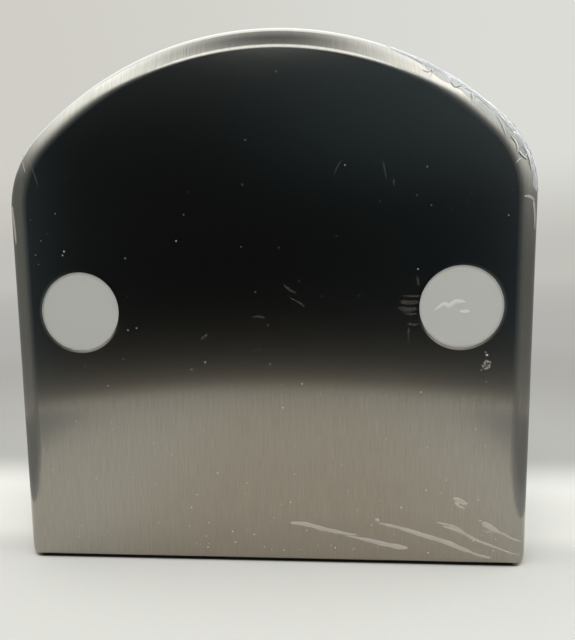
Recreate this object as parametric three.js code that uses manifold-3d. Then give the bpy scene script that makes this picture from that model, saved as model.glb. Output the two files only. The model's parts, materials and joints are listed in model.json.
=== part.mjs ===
// Twin stack napkin dispenser: an arched stainless steel cabinet with a hinged front.
// Millimetres, +Z up. The front looks along -Y, and the origin is on the surface
// that the cabinet stands on, under the middle of its outer box.
import * as THREE from 'three';
import { mergeVertices } from 'three/addons/utils/BufferGeometryUtils.js';
import Module from 'manifold-3d';

const wasm = await Module();
wasm.setup();

// Cabinet
const cabinetWidth = 300;
const cabinetHeight = 306.5;
const cabinetDepth = 120;
const doorDepth = 50;
const sheet = 1;
const archRise = 96.2;
const shoulderRadius = 60;
const cornerRadius = 6;
const rimRadius = 12;
const bottomBend = 3;
const rimBlendHeight = 25;
const backBend = 3;
const bottomFlange = 12;
const sideReturn = 4;
const doorGroundGap = 1.5;
const partingGap = 0.6;
const lipReach = 6;
const lipGap = 0.6;
const fitGap = 0.3;
const overrun = 5;

// Windows
const windowRadius = 22.8;
const windowInset = 41.7;
const windowHeight = 152;
const paneOverlap = 4.2;
const paneThickness = 2;
const ringThickness = 1;
const ringBorder = 3.5;
const studRadius = 2;
const studsPerWindow = 3;
const nutWidth = 7;
const nutHeight = 3;

// Hinge
const knuckleRadius = 2.5;
const knuckleCount = 9;
const knucklePitch = 19;
const knuckleGap = 0.4;
const hingeBottom = 20;
const hingePinRadius = 1.2;
const leafThickness = 1.2;
const leafWidth = 14;
const leafRivets = 4;

// Rivets
const rivetRadius = 1.4;
const rivetHeadRadius = 3;
const rivetHeadHeight = 1.4;
const rivetTailRadius = 2.4;
const rivetTailHeight = 0.9;

// Lock
const lockDrop = 20.8;
const lockInset = 34;
const lockHeadRadius = 11;
const lockHeadHeight = 5;
const lockHeadChamfer = 2;
const barrelRadius = 9;
const barrelLength = 16;
const plugRadius = 6;
const camSquare = 7;
const camThickness = 1.6;
const camWidth = 14;
const camLength = 27;
const camScrewRadius = 1.7;
const camScrewHeadRadius = 5;
const camScrewHeadHeight = 2.4;
const camScrewHeadChamfer = 2;
const camScrewLength = 8;
const lockNutWidth = 22;
const lockNutHeight = 3;
const lockBayGap = 2.5;
const keySlotHeight = 7;
const keySlotWidth = 1.4;
const keySlotDepth = 3;
const strikeThickness = 1.5;
const strikeHeight = 12;
const strikeWallGap = 1.9;
const strikePadLength = 23;
const strikeRivetSpacing = 11.5;

// Tray and throats
const trayHeight = 12;
const trayFlange = 16;
const trayRivetInset = 15;
const throatLength = 96;
const throatWidth = 34;
const throatWall = 2.7;
const throatCollar = 6;
const throatCollarHeight = 1.2;
const throatDrop = 6;

// Napkin bays, followers and their rods
const baySideRoom = 13.5;
const bayFrontRoom = 15.5;
const bayBackRoom = 14.5;
const dividerWidth = 13;
const bayLip = 9;
const rodRadius = 2;
const rodHeadRadius = 3.5;
const rodHeadHeight = 2;
const rodStand = 6;
const rodTail = 4;
const railThickness = 1.2;
const railHeight = 15;
const railReach = 18.25;
const followerMargin = 3;
const followerThickness = 1.5;
const followerRim = 8;
const followerStand = 6;
const bushRadius = 4;
const bushHeight = 26;
const tabWidth = 22;

// Wall fixing holes
const keyholeInset = 55;
const keyholeLow = 70;
const keyholeHigh = 215;
const keyholeRadius = 4.5;
const keyholeSlotRadius = 2.5;
const keyholeSlotRise = 9;

// Places worked out from the sizes above
const halfWidth = cabinetWidth / 2;
const frontY = -cabinetDepth / 2;
const backY = cabinetDepth / 2;
const partingY = frontY + doorDepth;
const doorEdgeY = partingY - partingGap / 2;
const housingEdgeY = partingY + partingGap / 2;
const innerBackY = backY - sheet;
const sideTopZ = cabinetHeight - archRise;
const wallX = halfWidth - sheet;
const trayTopZ = trayHeight + sheet;
const bayFrontY = frontY + bayFrontRoom;
const bayBackY = backY - bayBackRoom;
const guideX = halfWidth - baySideRoom;
const bayWidth = guideX - dividerWidth / 2;
const bayX = (dividerWidth + bayWidth) / 2;
const flangeY = innerBackY - fitGap - sheet;
const rodY = bayBackY + rodStand;
const lockZ = sideTopZ - lockDrop;
const lockY = frontY + lockInset;
const bayTopZ = lockZ - lockNutWidth / 2 - lockBayGap;
const railZ = bayTopZ + sheet;
const windowX = halfWidth - windowInset;
const keyholeX = halfWidth - keyholeInset;
const studCircle = windowRadius + paneOverlap + studRadius + 2 * fitGap + sheet;
const hingeX = -(halfWidth + fitGap + knuckleRadius);
const leafX = -(halfWidth + fitGap);
const hingeLength = knuckleCount * knucklePitch;

// Steps in the round stretches
const crownSteps = 8;
const shoulderSteps = 6;
const cornerSteps = 4;
const blendSteps = 3;
const rimSteps = 5;
const backBendSteps = 2;
const windowSteps = 36;
const lockSteps = 24;
const barSteps = 16;
const rivetSteps = 8;
const domeSteps = 2;

const finishes = {
  brushedStainless: { color: 0x8d8b86, roughness: 0.32, metalness: 1 },
  millStainless: { color: 0x9b9c9c, roughness: 0.45, metalness: 1 },
  zincPlate: { color: 0xa9adb0, roughness: 0.4, metalness: 1 },
  chromePlate: { color: 0xc9cbcc, roughness: 0.12, metalness: 1 },
  frostedPane: { color: 0xb4b3ae, roughness: 0.55, metalness: 0 },
  blackPlastic: { color: 0x1b1b1c, roughness: 0.5, metalness: 0 },
  whitePlastic: { color: 0xd9d8d2, roughness: 0.45, metalness: 0 },
};

// Solids and cuts. Corners are rounded to a fine grid, so that faces meant to meet do.
const snap = 1e-4;

function signedVolume(positions, index) {
  let volume = 0;
  const a = new THREE.Vector3();
  const b = new THREE.Vector3();
  const c = new THREE.Vector3();
  for (let i = 0; i < index.length; i += 3) {
    a.fromArray(positions, index[i] * 3);
    b.fromArray(positions, index[i + 1] * 3);
    c.fromArray(positions, index[i + 2] * 3);
    volume += a.dot(b.cross(c)) / 6;
  }
  return volume;
}

function toSolid(geometry) {
  const bare = geometry.clone();
  bare.deleteAttribute('normal');
  bare.deleteAttribute('uv');
  const corners = bare.attributes.position.array;
  for (let i = 0; i < corners.length; i++) corners[i] = Math.round(corners[i] / snap) * snap;
  const merged = mergeVertices(bare, snap / 10);
  const positions = new Float32Array(merged.attributes.position.array);
  const index = new Uint32Array(merged.index.array);
  if (signedVolume(positions, index) < 0) {
    for (let i = 0; i < index.length; i += 3) {
      [index[i], index[i + 1]] = [index[i + 1], index[i]];
    }
  }
  const mesh = new wasm.Mesh({ numProp: 3, vertProperties: positions, triVerts: index });
  return new wasm.Manifold(mesh);
}

function toGeometry(solid) {
  const mesh = solid.getMesh();
  const geometry = new THREE.BufferGeometry();
  geometry.setAttribute('position', new THREE.BufferAttribute(mesh.vertProperties, 3));
  geometry.setIndex(new THREE.BufferAttribute(mesh.triVerts, 1));
  geometry.computeVertexNormals();
  return geometry;
}

function join(solids) {
  return solids.reduce((whole, next) => whole.add(next));
}

function cut(solid, cutters) {
  return cutters.reduce((rest, next) => rest.subtract(next), solid);
}

function block(x0, x1, y0, y1, z0, z1) {
  const box = new THREE.BoxGeometry(x1 - x0, y1 - y0, z1 - z0);
  box.translate((x0 + x1) / 2, (y0 + y1) / 2, (z0 + z1) / 2);
  return toSolid(box);
}

// A turned solid on the given axis; its profile is a list of [radius, distance along].
function turned(profile, axis, at, steps = barSteps) {
  const points = profile.map(([radius, along]) => new THREE.Vector2(radius, along));
  const lathe = new THREE.LatheGeometry(points, steps);
  if (axis === 'x') lathe.rotateZ(-Math.PI / 2);
  if (axis === 'z') lathe.rotateX(Math.PI / 2);
  lathe.translate(...at);
  return toSolid(lathe);
}

function bar(radius, from, to, axis, at, steps = barSteps) {
  return turned([[0, from], [radius, from], [radius, to], [0, to]], axis, at, steps);
}

function tube(outer, inner, from, to, axis, at, steps = barSteps) {
  const profile = [[inner, from], [outer, from], [outer, to], [inner, to], [inner, from]];
  return turned(profile, axis, at, steps);
}

// A flat shape pushed out along one axis, from one place on it to another.
function extruded(shape, axis, from, to, curveSegments = 6) {
  const depth = to - from;
  const plate = new THREE.ExtrudeGeometry(shape, { depth, bevelEnabled: false, curveSegments });
  const basis = new THREE.Matrix4();
  if (axis === 'x') {
    basis.makeBasis(new THREE.Vector3(0, 1, 0), new THREE.Vector3(0, 0, 1), new THREE.Vector3(1, 0, 0));
    plate.applyMatrix4(basis);
    plate.translate(from, 0, 0);
  } else if (axis === 'y') {
    basis.makeBasis(new THREE.Vector3(1, 0, 0), new THREE.Vector3(0, 0, 1), new THREE.Vector3(0, -1, 0));
    plate.applyMatrix4(basis);
    plate.translate(0, to, 0);
  } else {
    plate.translate(0, 0, from);
  }
  return toSolid(plate);
}

function polygon(corners) {
  return new THREE.Shape(corners.map(([u, v]) => new THREE.Vector2(u, v)));
}

function stadium(length, width, centreX, centreY) {
  const radius = width / 2;
  const straight = length / 2 - radius;
  const shape = new THREE.Shape();
  shape.absarc(centreX + straight, centreY, radius, -Math.PI / 2, Math.PI / 2, false);
  shape.absarc(centreX - straight, centreY, radius, Math.PI / 2, Math.PI * 1.5, false);
  shape.closePath();
  return shape;
}

function hexagon(acrossFlats, turn) {
  const radius = acrossFlats / Math.sqrt(3);
  const corners = [];
  for (let side = 0; side < 6; side++) {
    const angle = turn + (side * Math.PI) / 3;
    corners.push([radius * Math.cos(angle), radius * Math.sin(angle)]);
  }
  return polygon(corners);
}

// The arched outline of the cabinet, anticlockwise from the front, each point with its
// outward direction and the radius of the rim there.
function archOutline(bottomZ) {
  const shoulderX = halfWidth - shoulderRadius;
  const rise = archRise;
  const crownRadius = (shoulderX ** 2 + rise ** 2 - shoulderRadius ** 2) / (2 * (rise - shoulderRadius));
  const crownZ = cabinetHeight - crownRadius;
  const joinAngle = Math.atan2(sideTopZ - crownZ, shoulderX);
  const cornerBend = cornerRadius - sheet / 2;
  const right = [];
  const addArc = (centreX, centreZ, radius, from, to, steps, skipFirst, rimAt) => {
    for (let step = skipFirst ? 1 : 0; step <= steps; step++) {
      const share = step / steps;
      const angle = from + (to - from) * share;
      const nx = Math.cos(angle);
      const nz = Math.sin(angle);
      right.push({ x: centreX + radius * nx, z: centreZ + radius * nz, nx, nz, rim: rimAt(share) });
    }
  };
  const cornerZ = bottomZ + cornerRadius;
  const cornerRim = (share) => bottomBend + (cornerBend - bottomBend) * share;
  addArc(halfWidth - cornerRadius, cornerZ, cornerRadius, -Math.PI / 2, 0, cornerSteps, false, cornerRim);
  for (let step = 1; step <= blendSteps; step++) {
    const share = step / blendSteps;
    const smooth = share * share * (3 - 2 * share);
    const rim = cornerBend + (rimRadius - cornerBend) * smooth;
    right.push({ x: halfWidth, z: cornerZ + rimBlendHeight * share, nx: 1, nz: 0, rim });
  }
  const fullRim = () => rimRadius;
  addArc(shoulderX, sideTopZ, shoulderRadius, 0, joinAngle, shoulderSteps, false, fullRim);
  addArc(0, crownZ, crownRadius, joinAngle, Math.PI / 2, crownSteps, true, fullRim);
  const left = right.slice(0, -1).reverse().map((p) => ({ ...p, x: -p.x, nx: -p.nx }));
  return [...right, ...left];
}

// Closes a stack of rings, each a list of [x, y, z], into a solid.
function loft(rings) {
  const count = rings[0].length;
  const positions = rings.flat(2);
  const index = [];
  for (let ring = 0; ring + 1 < rings.length; ring++) {
    for (let i = 0; i < count; i++) {
      const next = (i + 1) % count;
      const a = ring * count + i;
      const b = ring * count + next;
      const c = a + count;
      const d = b + count;
      index.push(a, c, d, a, d, b);
    }
  }
  const last = (rings.length - 1) * count;
  for (let i = 1; i + 1 < count; i++) {
    index.push(0, i, i + 1);
    index.push(last, last + i + 1, last + i);
  }
  const geometry = new THREE.BufferGeometry();
  geometry.setAttribute('position', new THREE.Float32BufferAttribute(positions, 3));
  geometry.setIndex(index);
  return toSolid(geometry);
}

// A pressed pan's outer or inner form: a flat face, a round rim and straight walls.
function panForm(outline, faceY, openY, inset, rimOf, steps) {
  const inwards = Math.sign(openY - faceY);
  const rings = [];
  for (let step = 0; step <= steps; step++) {
    const angle = ((step / steps) * Math.PI) / 2;
    rings.push(outline.map((p) => {
      const radius = rimOf(p) - inset;
      const drawIn = inset + radius * (1 - Math.sin(angle));
      const y = faceY + inwards * (inset + radius * (1 - Math.cos(angle)));
      return [p.x - p.nx * drawIn, y, p.z - p.nz * drawIn];
    }));
  }
  rings.push(outline.map((p) => [p.x - p.nx * inset, openY, p.z - p.nz * inset]));
  return loft(rings);
}

function panShell(outline, faceY, openY, rimOf, steps) {
  const past = openY + Math.sign(openY - faceY) * overrun;
  const outer = panForm(outline, faceY, openY, 0, rimOf, steps);
  const inner = panForm(outline, faceY, past, sheet, rimOf, steps);
  return outer.subtract(inner);
}

function slab(outline, inset, y0, y1) {
  const ringAt = (y) => outline.map((p) => [p.x - p.nx * inset, y, p.z - p.nz * inset]);
  return loft([ringAt(y0), ringAt(y1)]);
}

// Heights of the rivets on each hinge leaf
function leafRivetHeights() {
  const margin = hingeLength / (2 * leafRivets);
  return Array.from({ length: leafRivets }, (_, i) => hingeBottom + margin * (2 * i + 1));
}

function leafRivetY(side) {
  return partingY + side * (knuckleRadius + knuckleGap + leafWidth / 2);
}

// Door
function studPlaces(side) {
  return Array.from({ length: studsPerWindow }, (_, i) => {
    const angle = Math.PI / 2 + (i * 2 * Math.PI) / studsPerWindow;
    return [side * windowX + studCircle * Math.cos(angle), windowHeight + studCircle * Math.sin(angle)];
  });
}

const innerFrontY = frontY + sheet;
const paneY = innerFrontY + fitGap;
const ringY = paneY + paneThickness + fitGap;
const nutY = ringY + ringThickness + fitGap;
const studEndY = nutY + nutHeight + sheet;

function doorShell() {
  const outline = archOutline(doorGroundGap);
  const shell = panShell(outline, frontY, doorEdgeY, (p) => p.rim, rimSteps);
  const studs = [-1, 1].flatMap((side) => studPlaces(side).map(([x, z]) => (
    bar(studRadius, innerFrontY - sheet / 2, studEndY, 'y', [x, 0, z], rivetSteps)
  )));
  const open = halfWidth - sideReturn;
  const mouthTop = doorGroundGap + cornerRadius;
  const cutters = [
    block(-open, open, frontY + bottomFlange, partingY + overrun, -overrun, mouthTop),
    bar(barrelRadius + fitGap, wallX - overrun, halfWidth + overrun, 'x', [0, lockY, lockZ], lockSteps),
    ...[-1, 1].map((side) => {
      const at = [side * windowX, frontY, windowHeight];
      return bar(windowRadius, -overrun, overrun, 'y', at, windowSteps);
    }),
    ...leafRivetHeights().map((z) => sideHole(-1, leafRivetY(-1), z)),
  ];
  return cut(join([shell, ...studs]), cutters);
}

function windowPane() {
  return bar(windowRadius + paneOverlap, 0, paneThickness, 'y', [0, 0, 0], windowSteps);
}

function windowRing(side) {
  const outer = studCircle + ringBorder;
  const ring = tube(outer, windowRadius, 0, ringThickness, 'y', [0, 0, 0], windowSteps);
  const holes = studPlaces(side).map(([x, z]) => {
    const at = [x - side * windowX, 0, z - windowHeight];
    return bar(studRadius + fitGap, -overrun, overrun, 'y', at, rivetSteps);
  });
  return cut(ring, holes);
}

function windowNut() {
  const body = extruded(hexagon(nutWidth, 0), 'y', 0, nutHeight);
  return body.subtract(bar(studRadius + fitGap, -overrun, nutHeight + overrun, 'y', [0, 0, 0], rivetSteps));
}

// Hinge: the leaf on the side that is given takes every other knuckle.
function hingeLeaf(side) {
  const start = knuckleRadius + knuckleGap;
  const leafY = [partingY + side * start, partingY + side * (start + leafWidth)].sort((a, b) => a - b);
  const outerX = leafX - leafThickness;
  const parts = [block(outerX, leafX, ...leafY, hingeBottom, hingeBottom + hingeLength)];
  for (let i = side > 0 ? 0 : 1; i < knuckleCount; i += 2) {
    const z0 = hingeBottom + i * knucklePitch + knuckleGap / 2;
    const z1 = z0 + knucklePitch - knuckleGap;
    const tabY = [partingY, partingY + side * (start + knuckleGap)].sort((a, b) => a - b);
    parts.push(bar(knuckleRadius, z0, z1, 'z', [hingeX, partingY, 0]));
    parts.push(block(outerX, leafX, ...tabY, z0, z1));
  }
  const boreEnds = [hingeBottom - overrun, hingeBottom + hingeLength + overrun];
  const bore = bar(hingePinRadius + fitGap, ...boreEnds, 'z', [hingeX, partingY, 0], barSteps);
  const holes = leafRivetHeights().map((z) => (
    bar(rivetRadius + fitGap, outerX - overrun, leafX + overrun, 'x', [0, leafRivetY(side), z], rivetSteps)
  ));
  return cut(join(parts), [bore, ...holes]);
}

function hingePin() {
  const low = hingeBottom + knuckleGap / 2 - fitGap;
  const high = hingeBottom + hingeLength - knuckleGap / 2 + fitGap;
  const head = knuckleRadius - fitGap;
  const profile = [
    [0, low - sheet], [head, low - sheet], [head, low], [hingePinRadius, low],
    [hingePinRadius, high], [head, high], [head, high + sheet], [0, high + sheet],
  ];
  return turned(profile, 'z', [hingeX, partingY, 0]);
}

// A rivet along +X from the underside of its domed head, through a stack of the given grip.
function rivet(grip, hasTail) {
  const end = grip + 2 * fitGap;
  const profile = Array.from({ length: domeSteps + 1 }, (_, step) => {
    const angle = ((step / domeSteps) * Math.PI) / 2;
    return [rivetHeadRadius * Math.sin(angle), -rivetHeadHeight * Math.cos(angle)];
  });
  profile.push([rivetRadius, 0]);
  if (hasTail) {
    profile.push([rivetRadius, end], [rivetTailRadius, end]);
    profile.push([rivetTailRadius, end + rivetTailHeight], [0, end + rivetTailHeight]);
  } else {
    profile.push([rivetRadius, grip], [0, grip]);
  }
  return turned(profile, 'x', [0, 0, 0], rivetSteps);
}

// Lock: every piece is drawn about the lock's own axis, with x = 0 on the wall's outer face.
const barrelEnd = -barrelLength;
const camFace = barrelEnd - fitGap;
const camBack = camFace - camThickness;

function lockBarrel() {
  const profile = [
    [plugRadius + fitGap, barrelEnd],
    [barrelRadius, barrelEnd],
    [barrelRadius, fitGap],
    [lockHeadRadius, fitGap],
    [lockHeadRadius, fitGap + lockHeadHeight - lockHeadChamfer],
    [lockHeadRadius - lockHeadChamfer, fitGap + lockHeadHeight],
    [plugRadius + fitGap, fitGap + lockHeadHeight],
    [plugRadius + fitGap, barrelEnd],
  ];
  return turned(profile, 'x', [0, 0, 0], lockSteps);
}

function lockNut() {
  const outer = -sheet - fitGap;
  const inner = outer - lockNutHeight;
  const body = extruded(hexagon(lockNutWidth, 0), 'x', inner, outer);
  const bore = bar(barrelRadius + fitGap, inner - overrun, outer + overrun, 'x', [0, 0, 0], lockSteps);
  return body.subtract(bore);
}

function lockPlug() {
  const face = fitGap + lockHeadHeight - keySlotWidth / 2;
  const half = camSquare / 2;
  const body = join([
    bar(plugRadius, barrelEnd, face, 'x', [0, 0, 0], lockSteps),
    block(camBack, barrelEnd + sheet, -half, half, -half, half),
  ]);
  const slotHalf = keySlotWidth / 2;
  return cut(body, [
    block(face - keySlotDepth, face + overrun, -slotHalf, slotHalf, -keySlotHeight / 2, keySlotHeight / 2),
    bar(camScrewRadius + fitGap, camBack - overrun, camBack + camScrewLength, 'x', [0, 0, 0], rivetSteps),
  ]);
}

// The cam reaches back (+Y) when the lock is open, and up when it is locked.
function lockCam() {
  const half = camWidth / 2;
  const shape = new THREE.Shape();
  shape.absarc(0, 0, half, Math.PI / 2, Math.PI * 1.5, false);
  shape.lineTo(camLength - half / 2, -half);
  shape.lineTo(camLength, -half / 2);
  shape.lineTo(camLength, half / 2);
  shape.lineTo(camLength - half / 2, half);
  shape.closePath();
  const square = camSquare / 2 + fitGap;
  const hole = block(camBack - overrun, camFace + overrun, -square, square, -square, square);
  return extruded(shape, 'x', camBack, camFace).subtract(hole);
}

function camScrew() {
  const under = camBack - fitGap;
  const top = under - camScrewHeadHeight;
  const tip = camBack + camScrewLength - fitGap;
  const profile = [
    [0, top], [camScrewHeadRadius - camScrewHeadChamfer, top],
    [camScrewHeadRadius, under - camScrewHeadHeight / 2],
    [camScrewHeadRadius, under], [camScrewRadius, under], [camScrewRadius, tip], [0, tip],
  ];
  const slotHalf = keySlotWidth / 2;
  const slot = block(top - overrun, top + slotHalf, -slotHalf, slotHalf, -overrun, overrun);
  return turned(profile, 'x', [0, 0, 0]).subtract(slot);
}

// Housing
const strikeBottomZ = lockZ + lockNutWidth / 2 + 2 * sheet;
const strikeTopZ = strikeBottomZ + strikeHeight;
const strikeFaceX = wallX - strikeWallGap;
const strikePadY = housingEdgeY + lipReach + overrun;
const strikeRivetMid = strikePadY + strikePadLength / 2;
const strikeRivetY = [-1, 1].map((side) => strikeRivetMid + (side * strikeRivetSpacing) / 2);
const strikeMidZ = (strikeBottomZ + strikeTopZ) / 2;

function keyhole(x, z) {
  const past = [innerBackY - overrun, backY + overrun];
  const slotTop = z + keyholeSlotRise;
  return join([
    bar(keyholeRadius, ...past, 'y', [x, 0, z]),
    block(x - keyholeSlotRadius, x + keyholeSlotRadius, ...past, z, slotTop),
    bar(keyholeSlotRadius, ...past, 'y', [x, 0, slotTop]),
  ]);
}

// Tray places that the rivets and the walls share
const trayFrontY = bayFrontY - sheet;
const trayFrontHalf = guideX + sheet / 2;
const traySideX = wallX - fitGap;
const trayBackY = innerBackY - fitGap;
const trayWideY = housingEdgeY + lipReach + sheet;
const trayRivetZ = trayTopZ + (trayFlange - sheet) / 2;
const throatY = (bayFrontY + bayBackY) / 2;

// Rivets that hold the inner pieces to the back wall, each as [name, x, z]
const railRivetZ = railZ + (railThickness + railHeight) / 2;
const guideRivetX = guideX + sheet + rivetHeadRadius + 2 * fitGap;
const dividerRivetX = dividerWidth / 2 + rivetHeadRadius + 2 * fitGap;
const backRivets = [
  ['tray_rivet_back_left', -bayX / 2, trayRivetZ],
  ['tray_rivet_back_right', bayX / 2, trayRivetZ],
  ['rail_rivet_left', -bayX / 2, railRivetZ],
  ['rail_rivet_right', bayX / 2, railRivetZ],
  ['guide_rivet_left', -guideRivetX, bayTopZ / 2],
  ['guide_rivet_right', guideRivetX, bayTopZ / 2],
  ['divider_rivet_left', -dividerRivetX, bayTopZ / 2],
  ['divider_rivet_right', dividerRivetX, bayTopZ / 2],
];

// Rivets that hold the tray's side flanges to the cabinet's walls
const trayRivetY = [trayWideY + trayRivetInset, trayBackY - backBend - trayRivetInset];

function backRivetHoles(names) {
  return backRivets.filter(([name]) => names.some((start) => name.startsWith(start))).map(([, x, z]) => (
    bar(rivetRadius + fitGap, flangeY - overrun, backY + overrun, 'y', [x, 0, z], rivetSteps)
  ));
}

function sideHole(side, y, z) {
  const at = [side * wallX, y, z];
  return bar(rivetRadius + fitGap, -overrun, overrun, 'x', at, rivetSteps);
}

function housingShell() {
  const outline = archOutline(0);
  const shell = panShell(outline, backY, housingEdgeY, () => backBend, backBendSteps);
  const lipOuter = sheet + lipGap;
  const lipInner = lipOuter + sheet;
  const lipEnd = housingEdgeY + lipReach;
  const lip = slab(outline, lipOuter, housingEdgeY - lipReach, lipEnd);
  const root = slab(outline, sheet / 2, housingEdgeY, lipEnd);
  const lipHollow = slab(outline, lipInner, housingEdgeY - lipReach - overrun, lipEnd + overrun);
  const lipFoot = block(-halfWidth, halfWidth, frontY, lipEnd + sheet, -overrun, trayTopZ + trayFlange / 4);
  const past = wallX - lipInner - overrun;
  const notchBottom = lockZ - lockNutWidth / 2 - sheet;
  const notchEnd = lipEnd + sheet;
  const lockNotch = block(past, wallX - fitGap, frontY, notchEnd, notchBottom, strikeTopZ + sheet);
  const lipRing = cut(join([lip, root]), [lipHollow, lipFoot, lockNotch]);
  const open = halfWidth - sideReturn;
  const cutters = [
    block(-open, open, housingEdgeY - overrun, backY - bottomFlange, -overrun, cornerRadius),
    ...[-1, 1].flatMap((side) => [
      keyhole(side * keyholeX, keyholeLow),
      keyhole(side * keyholeX, keyholeHigh),
    ]),
    ...leafRivetHeights().map((z) => sideHole(-1, leafRivetY(1), z)),
    ...[-1, 1].flatMap((side) => trayRivetY.map((y) => sideHole(side, y, trayRivetZ))),
    ...strikeRivetY.map((y) => sideHole(1, y, strikeMidZ)),
    ...backRivetHoles(['']),
  ];
  return cut(join([shell, lipRing]), cutters);
}

// An arm that reaches forward of the parting line, with a lip across the cam's path.
function lockStrike() {
  const lipFront = lockY - camWidth / 2 - fitGap - strikeThickness;
  const armX = strikeFaceX - strikeThickness;
  const lipX = halfWidth + camBack - camThickness * 2;
  const padEnd = strikePadY + strikePadLength;
  const body = join([
    block(armX, strikeFaceX, lipFront, padEnd, strikeBottomZ, strikeTopZ),
    block(armX, wallX - fitGap, strikePadY, padEnd, strikeBottomZ, strikeTopZ),
    block(lipX, strikeFaceX, lipFront, lipFront + strikeThickness, strikeBottomZ, strikeTopZ),
  ]);
  return cut(body, strikeRivetY.map((y) => sideHole(1, y, strikeMidZ)));
}

// Tray: a plate with a lip turned down in front and flanges turned up at the walls.
function trayPlate() {
  const chamfer = backBend;
  const right = [
    [trayFrontHalf, trayFrontY],
    [trayFrontHalf, trayWideY],
    [traySideX, trayWideY],
    [traySideX, trayBackY - chamfer],
    [traySideX - chamfer, trayBackY],
  ];
  const left = right.slice().reverse().map(([x, y]) => [-x, y]);
  return extruded(polygon([...right, ...left]), 'z', trayHeight, trayTopZ);
}

function baseTray() {
  const flangeTop = trayHeight + trayFlange;
  const flangeEnd = trayBackY - backBend;
  const backHalf = traySideX - backBend;
  const parts = [
    trayPlate(),
    block(-trayFrontHalf, trayFrontHalf, trayFrontY, trayFrontY + sheet, 0, trayTopZ),
    block(-backHalf, backHalf, trayBackY - sheet, trayBackY, trayHeight, flangeTop),
    block(-traySideX, -traySideX + sheet, trayWideY, flangeEnd, trayHeight, flangeTop),
    block(traySideX - sheet, traySideX, trayWideY, flangeEnd, trayHeight, flangeTop),
  ];
  const cutters = [-1, 1].flatMap((side) => [
    extruded(stadium(throatLength, throatWidth, side * bayX, throatY), 'z', 0, trayTopZ + overrun),
    bar(rodRadius + fitGap, 0, trayTopZ + overrun, 'z', [side * bayX, rodY, 0]),
    ...trayRivetY.map((y) => sideHole(side, y, trayRivetZ)),
  ]);
  return cut(join(parts), [...cutters, ...backRivetHoles(['tray'])]);
}

function throatInsert() {
  const clear = 2 * fitGap;
  const bottom = trayHeight - throatDrop;
  const collarTop = trayTopZ + fitGap + throatCollarHeight;
  const sleeve = stadium(throatLength - clear, throatWidth - clear, 0, 0);
  const collar = stadium(throatLength + 2 * throatCollar, throatWidth + 2 * throatCollar, 0, 0);
  const mouth = stadium(throatLength - clear - 2 * throatWall, throatWidth - clear - 2 * throatWall, 0, 0);
  const body = join([
    extruded(sleeve, 'z', bottom, collarTop),
    extruded(collar, 'z', trayTopZ + fitGap, collarTop),
  ]);
  return body.subtract(extruded(mouth, 'z', bottom - overrun, collarTop + overrun));
}

// Divider: a channel between the bays, with a wider web in front that holds the napkins in.
function centreDivider() {
  const half = dividerWidth / 2;
  const bottom = trayTopZ + fitGap;
  const flange = half + 2 * rivetHeadRadius + 4 * fitGap;
  const relief = flangeY - backBend;
  const wall = (side) => {
    const x = [side * half, side * (half - sheet)].sort((a, b) => a - b);
    return block(...x, bayFrontY, flangeY + sheet, bottom, bayTopZ);
  };
  const foot = (side) => {
    const x = [side * (half - sheet), side * flange].sort((a, b) => a - b);
    return block(...x, flangeY, flangeY + sheet, trayHeight + trayFlange + 2 * fitGap, bayTopZ);
  };
  const body = join([
    block(-(half + bayLip), half + bayLip, bayFrontY, bayFrontY + sheet, bottom, bayTopZ),
    wall(-1),
    wall(1),
    foot(-1),
    foot(1),
  ]);
  const reliefTop = trayHeight + trayFlange + fitGap;
  const trayCorner = block(-flange, flange, relief, backY, bottom - overrun, reliefTop);
  return cut(body, [trayCorner, ...backRivetHoles(['divider'])]);
}

// Side guide: a sheet beside the bay, lipped inwards in front and flanged to the back wall.
function sideGuide(side) {
  const bottom = trayTopZ + fitGap;
  const reliefTop = trayHeight + trayFlange + fitGap;
  const outer = guideX + sheet;
  const flange = outer + 2 * rivetHeadRadius + 4 * fitGap;
  const span = (a, b) => [side * a, side * b].sort((p, q) => p - q);
  const body = join([
    block(...span(guideX, outer), bayFrontY, flangeY + sheet, bottom, bayTopZ),
    block(...span(guideX - bayLip, outer), bayFrontY, bayFrontY + sheet, bottom, bayTopZ),
    block(...span(guideX, flange), flangeY, flangeY + sheet, reliefTop + fitGap, bayTopZ),
  ]);
  const corner = block(...span(guideX - sheet, flange + sheet), flangeY - backBend, backY, 0, reliefTop);
  return cut(body, [corner, ...backRivetHoles(['guide'])]);
}

// Rail: an angle across the back wall that holds the heads of both guide rods.
function rodRail() {
  const half = bayX + railReach;
  const front = rodY - rodHeadRadius - 2 * sheet;
  const body = join([
    block(-half, half, front, flangeY + sheet, railZ, railZ + railThickness),
    block(-half, half, flangeY + sheet - railThickness, flangeY + sheet, railZ, railZ + railHeight),
  ]);
  const holes = [-1, 1].map((side) => (
    bar(rodRadius + fitGap, railZ - overrun, railZ + overrun, 'z', [side * bayX, rodY, 0])
  ));
  return cut(body, [...holes, ...backRivetHoles(['rail'])]);
}

function guideRod() {
  const bottom = trayHeight - rodTail;
  const under = railZ + railThickness + fitGap;
  const profile = [
    [0, bottom], [rodRadius, bottom], [rodRadius, under],
    [rodHeadRadius, under], [rodHeadRadius, under + rodHeadHeight], [0, under + rodHeadHeight],
  ];
  return turned(profile, 'z', [0, 0, 0]);
}

// Follower: a pressed weight that rides down the rod on the stack, drawn about the rod's axis.
const followerZ = trayTopZ + followerStand;
const bushBottomZ = trayTopZ + fitGap;

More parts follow.
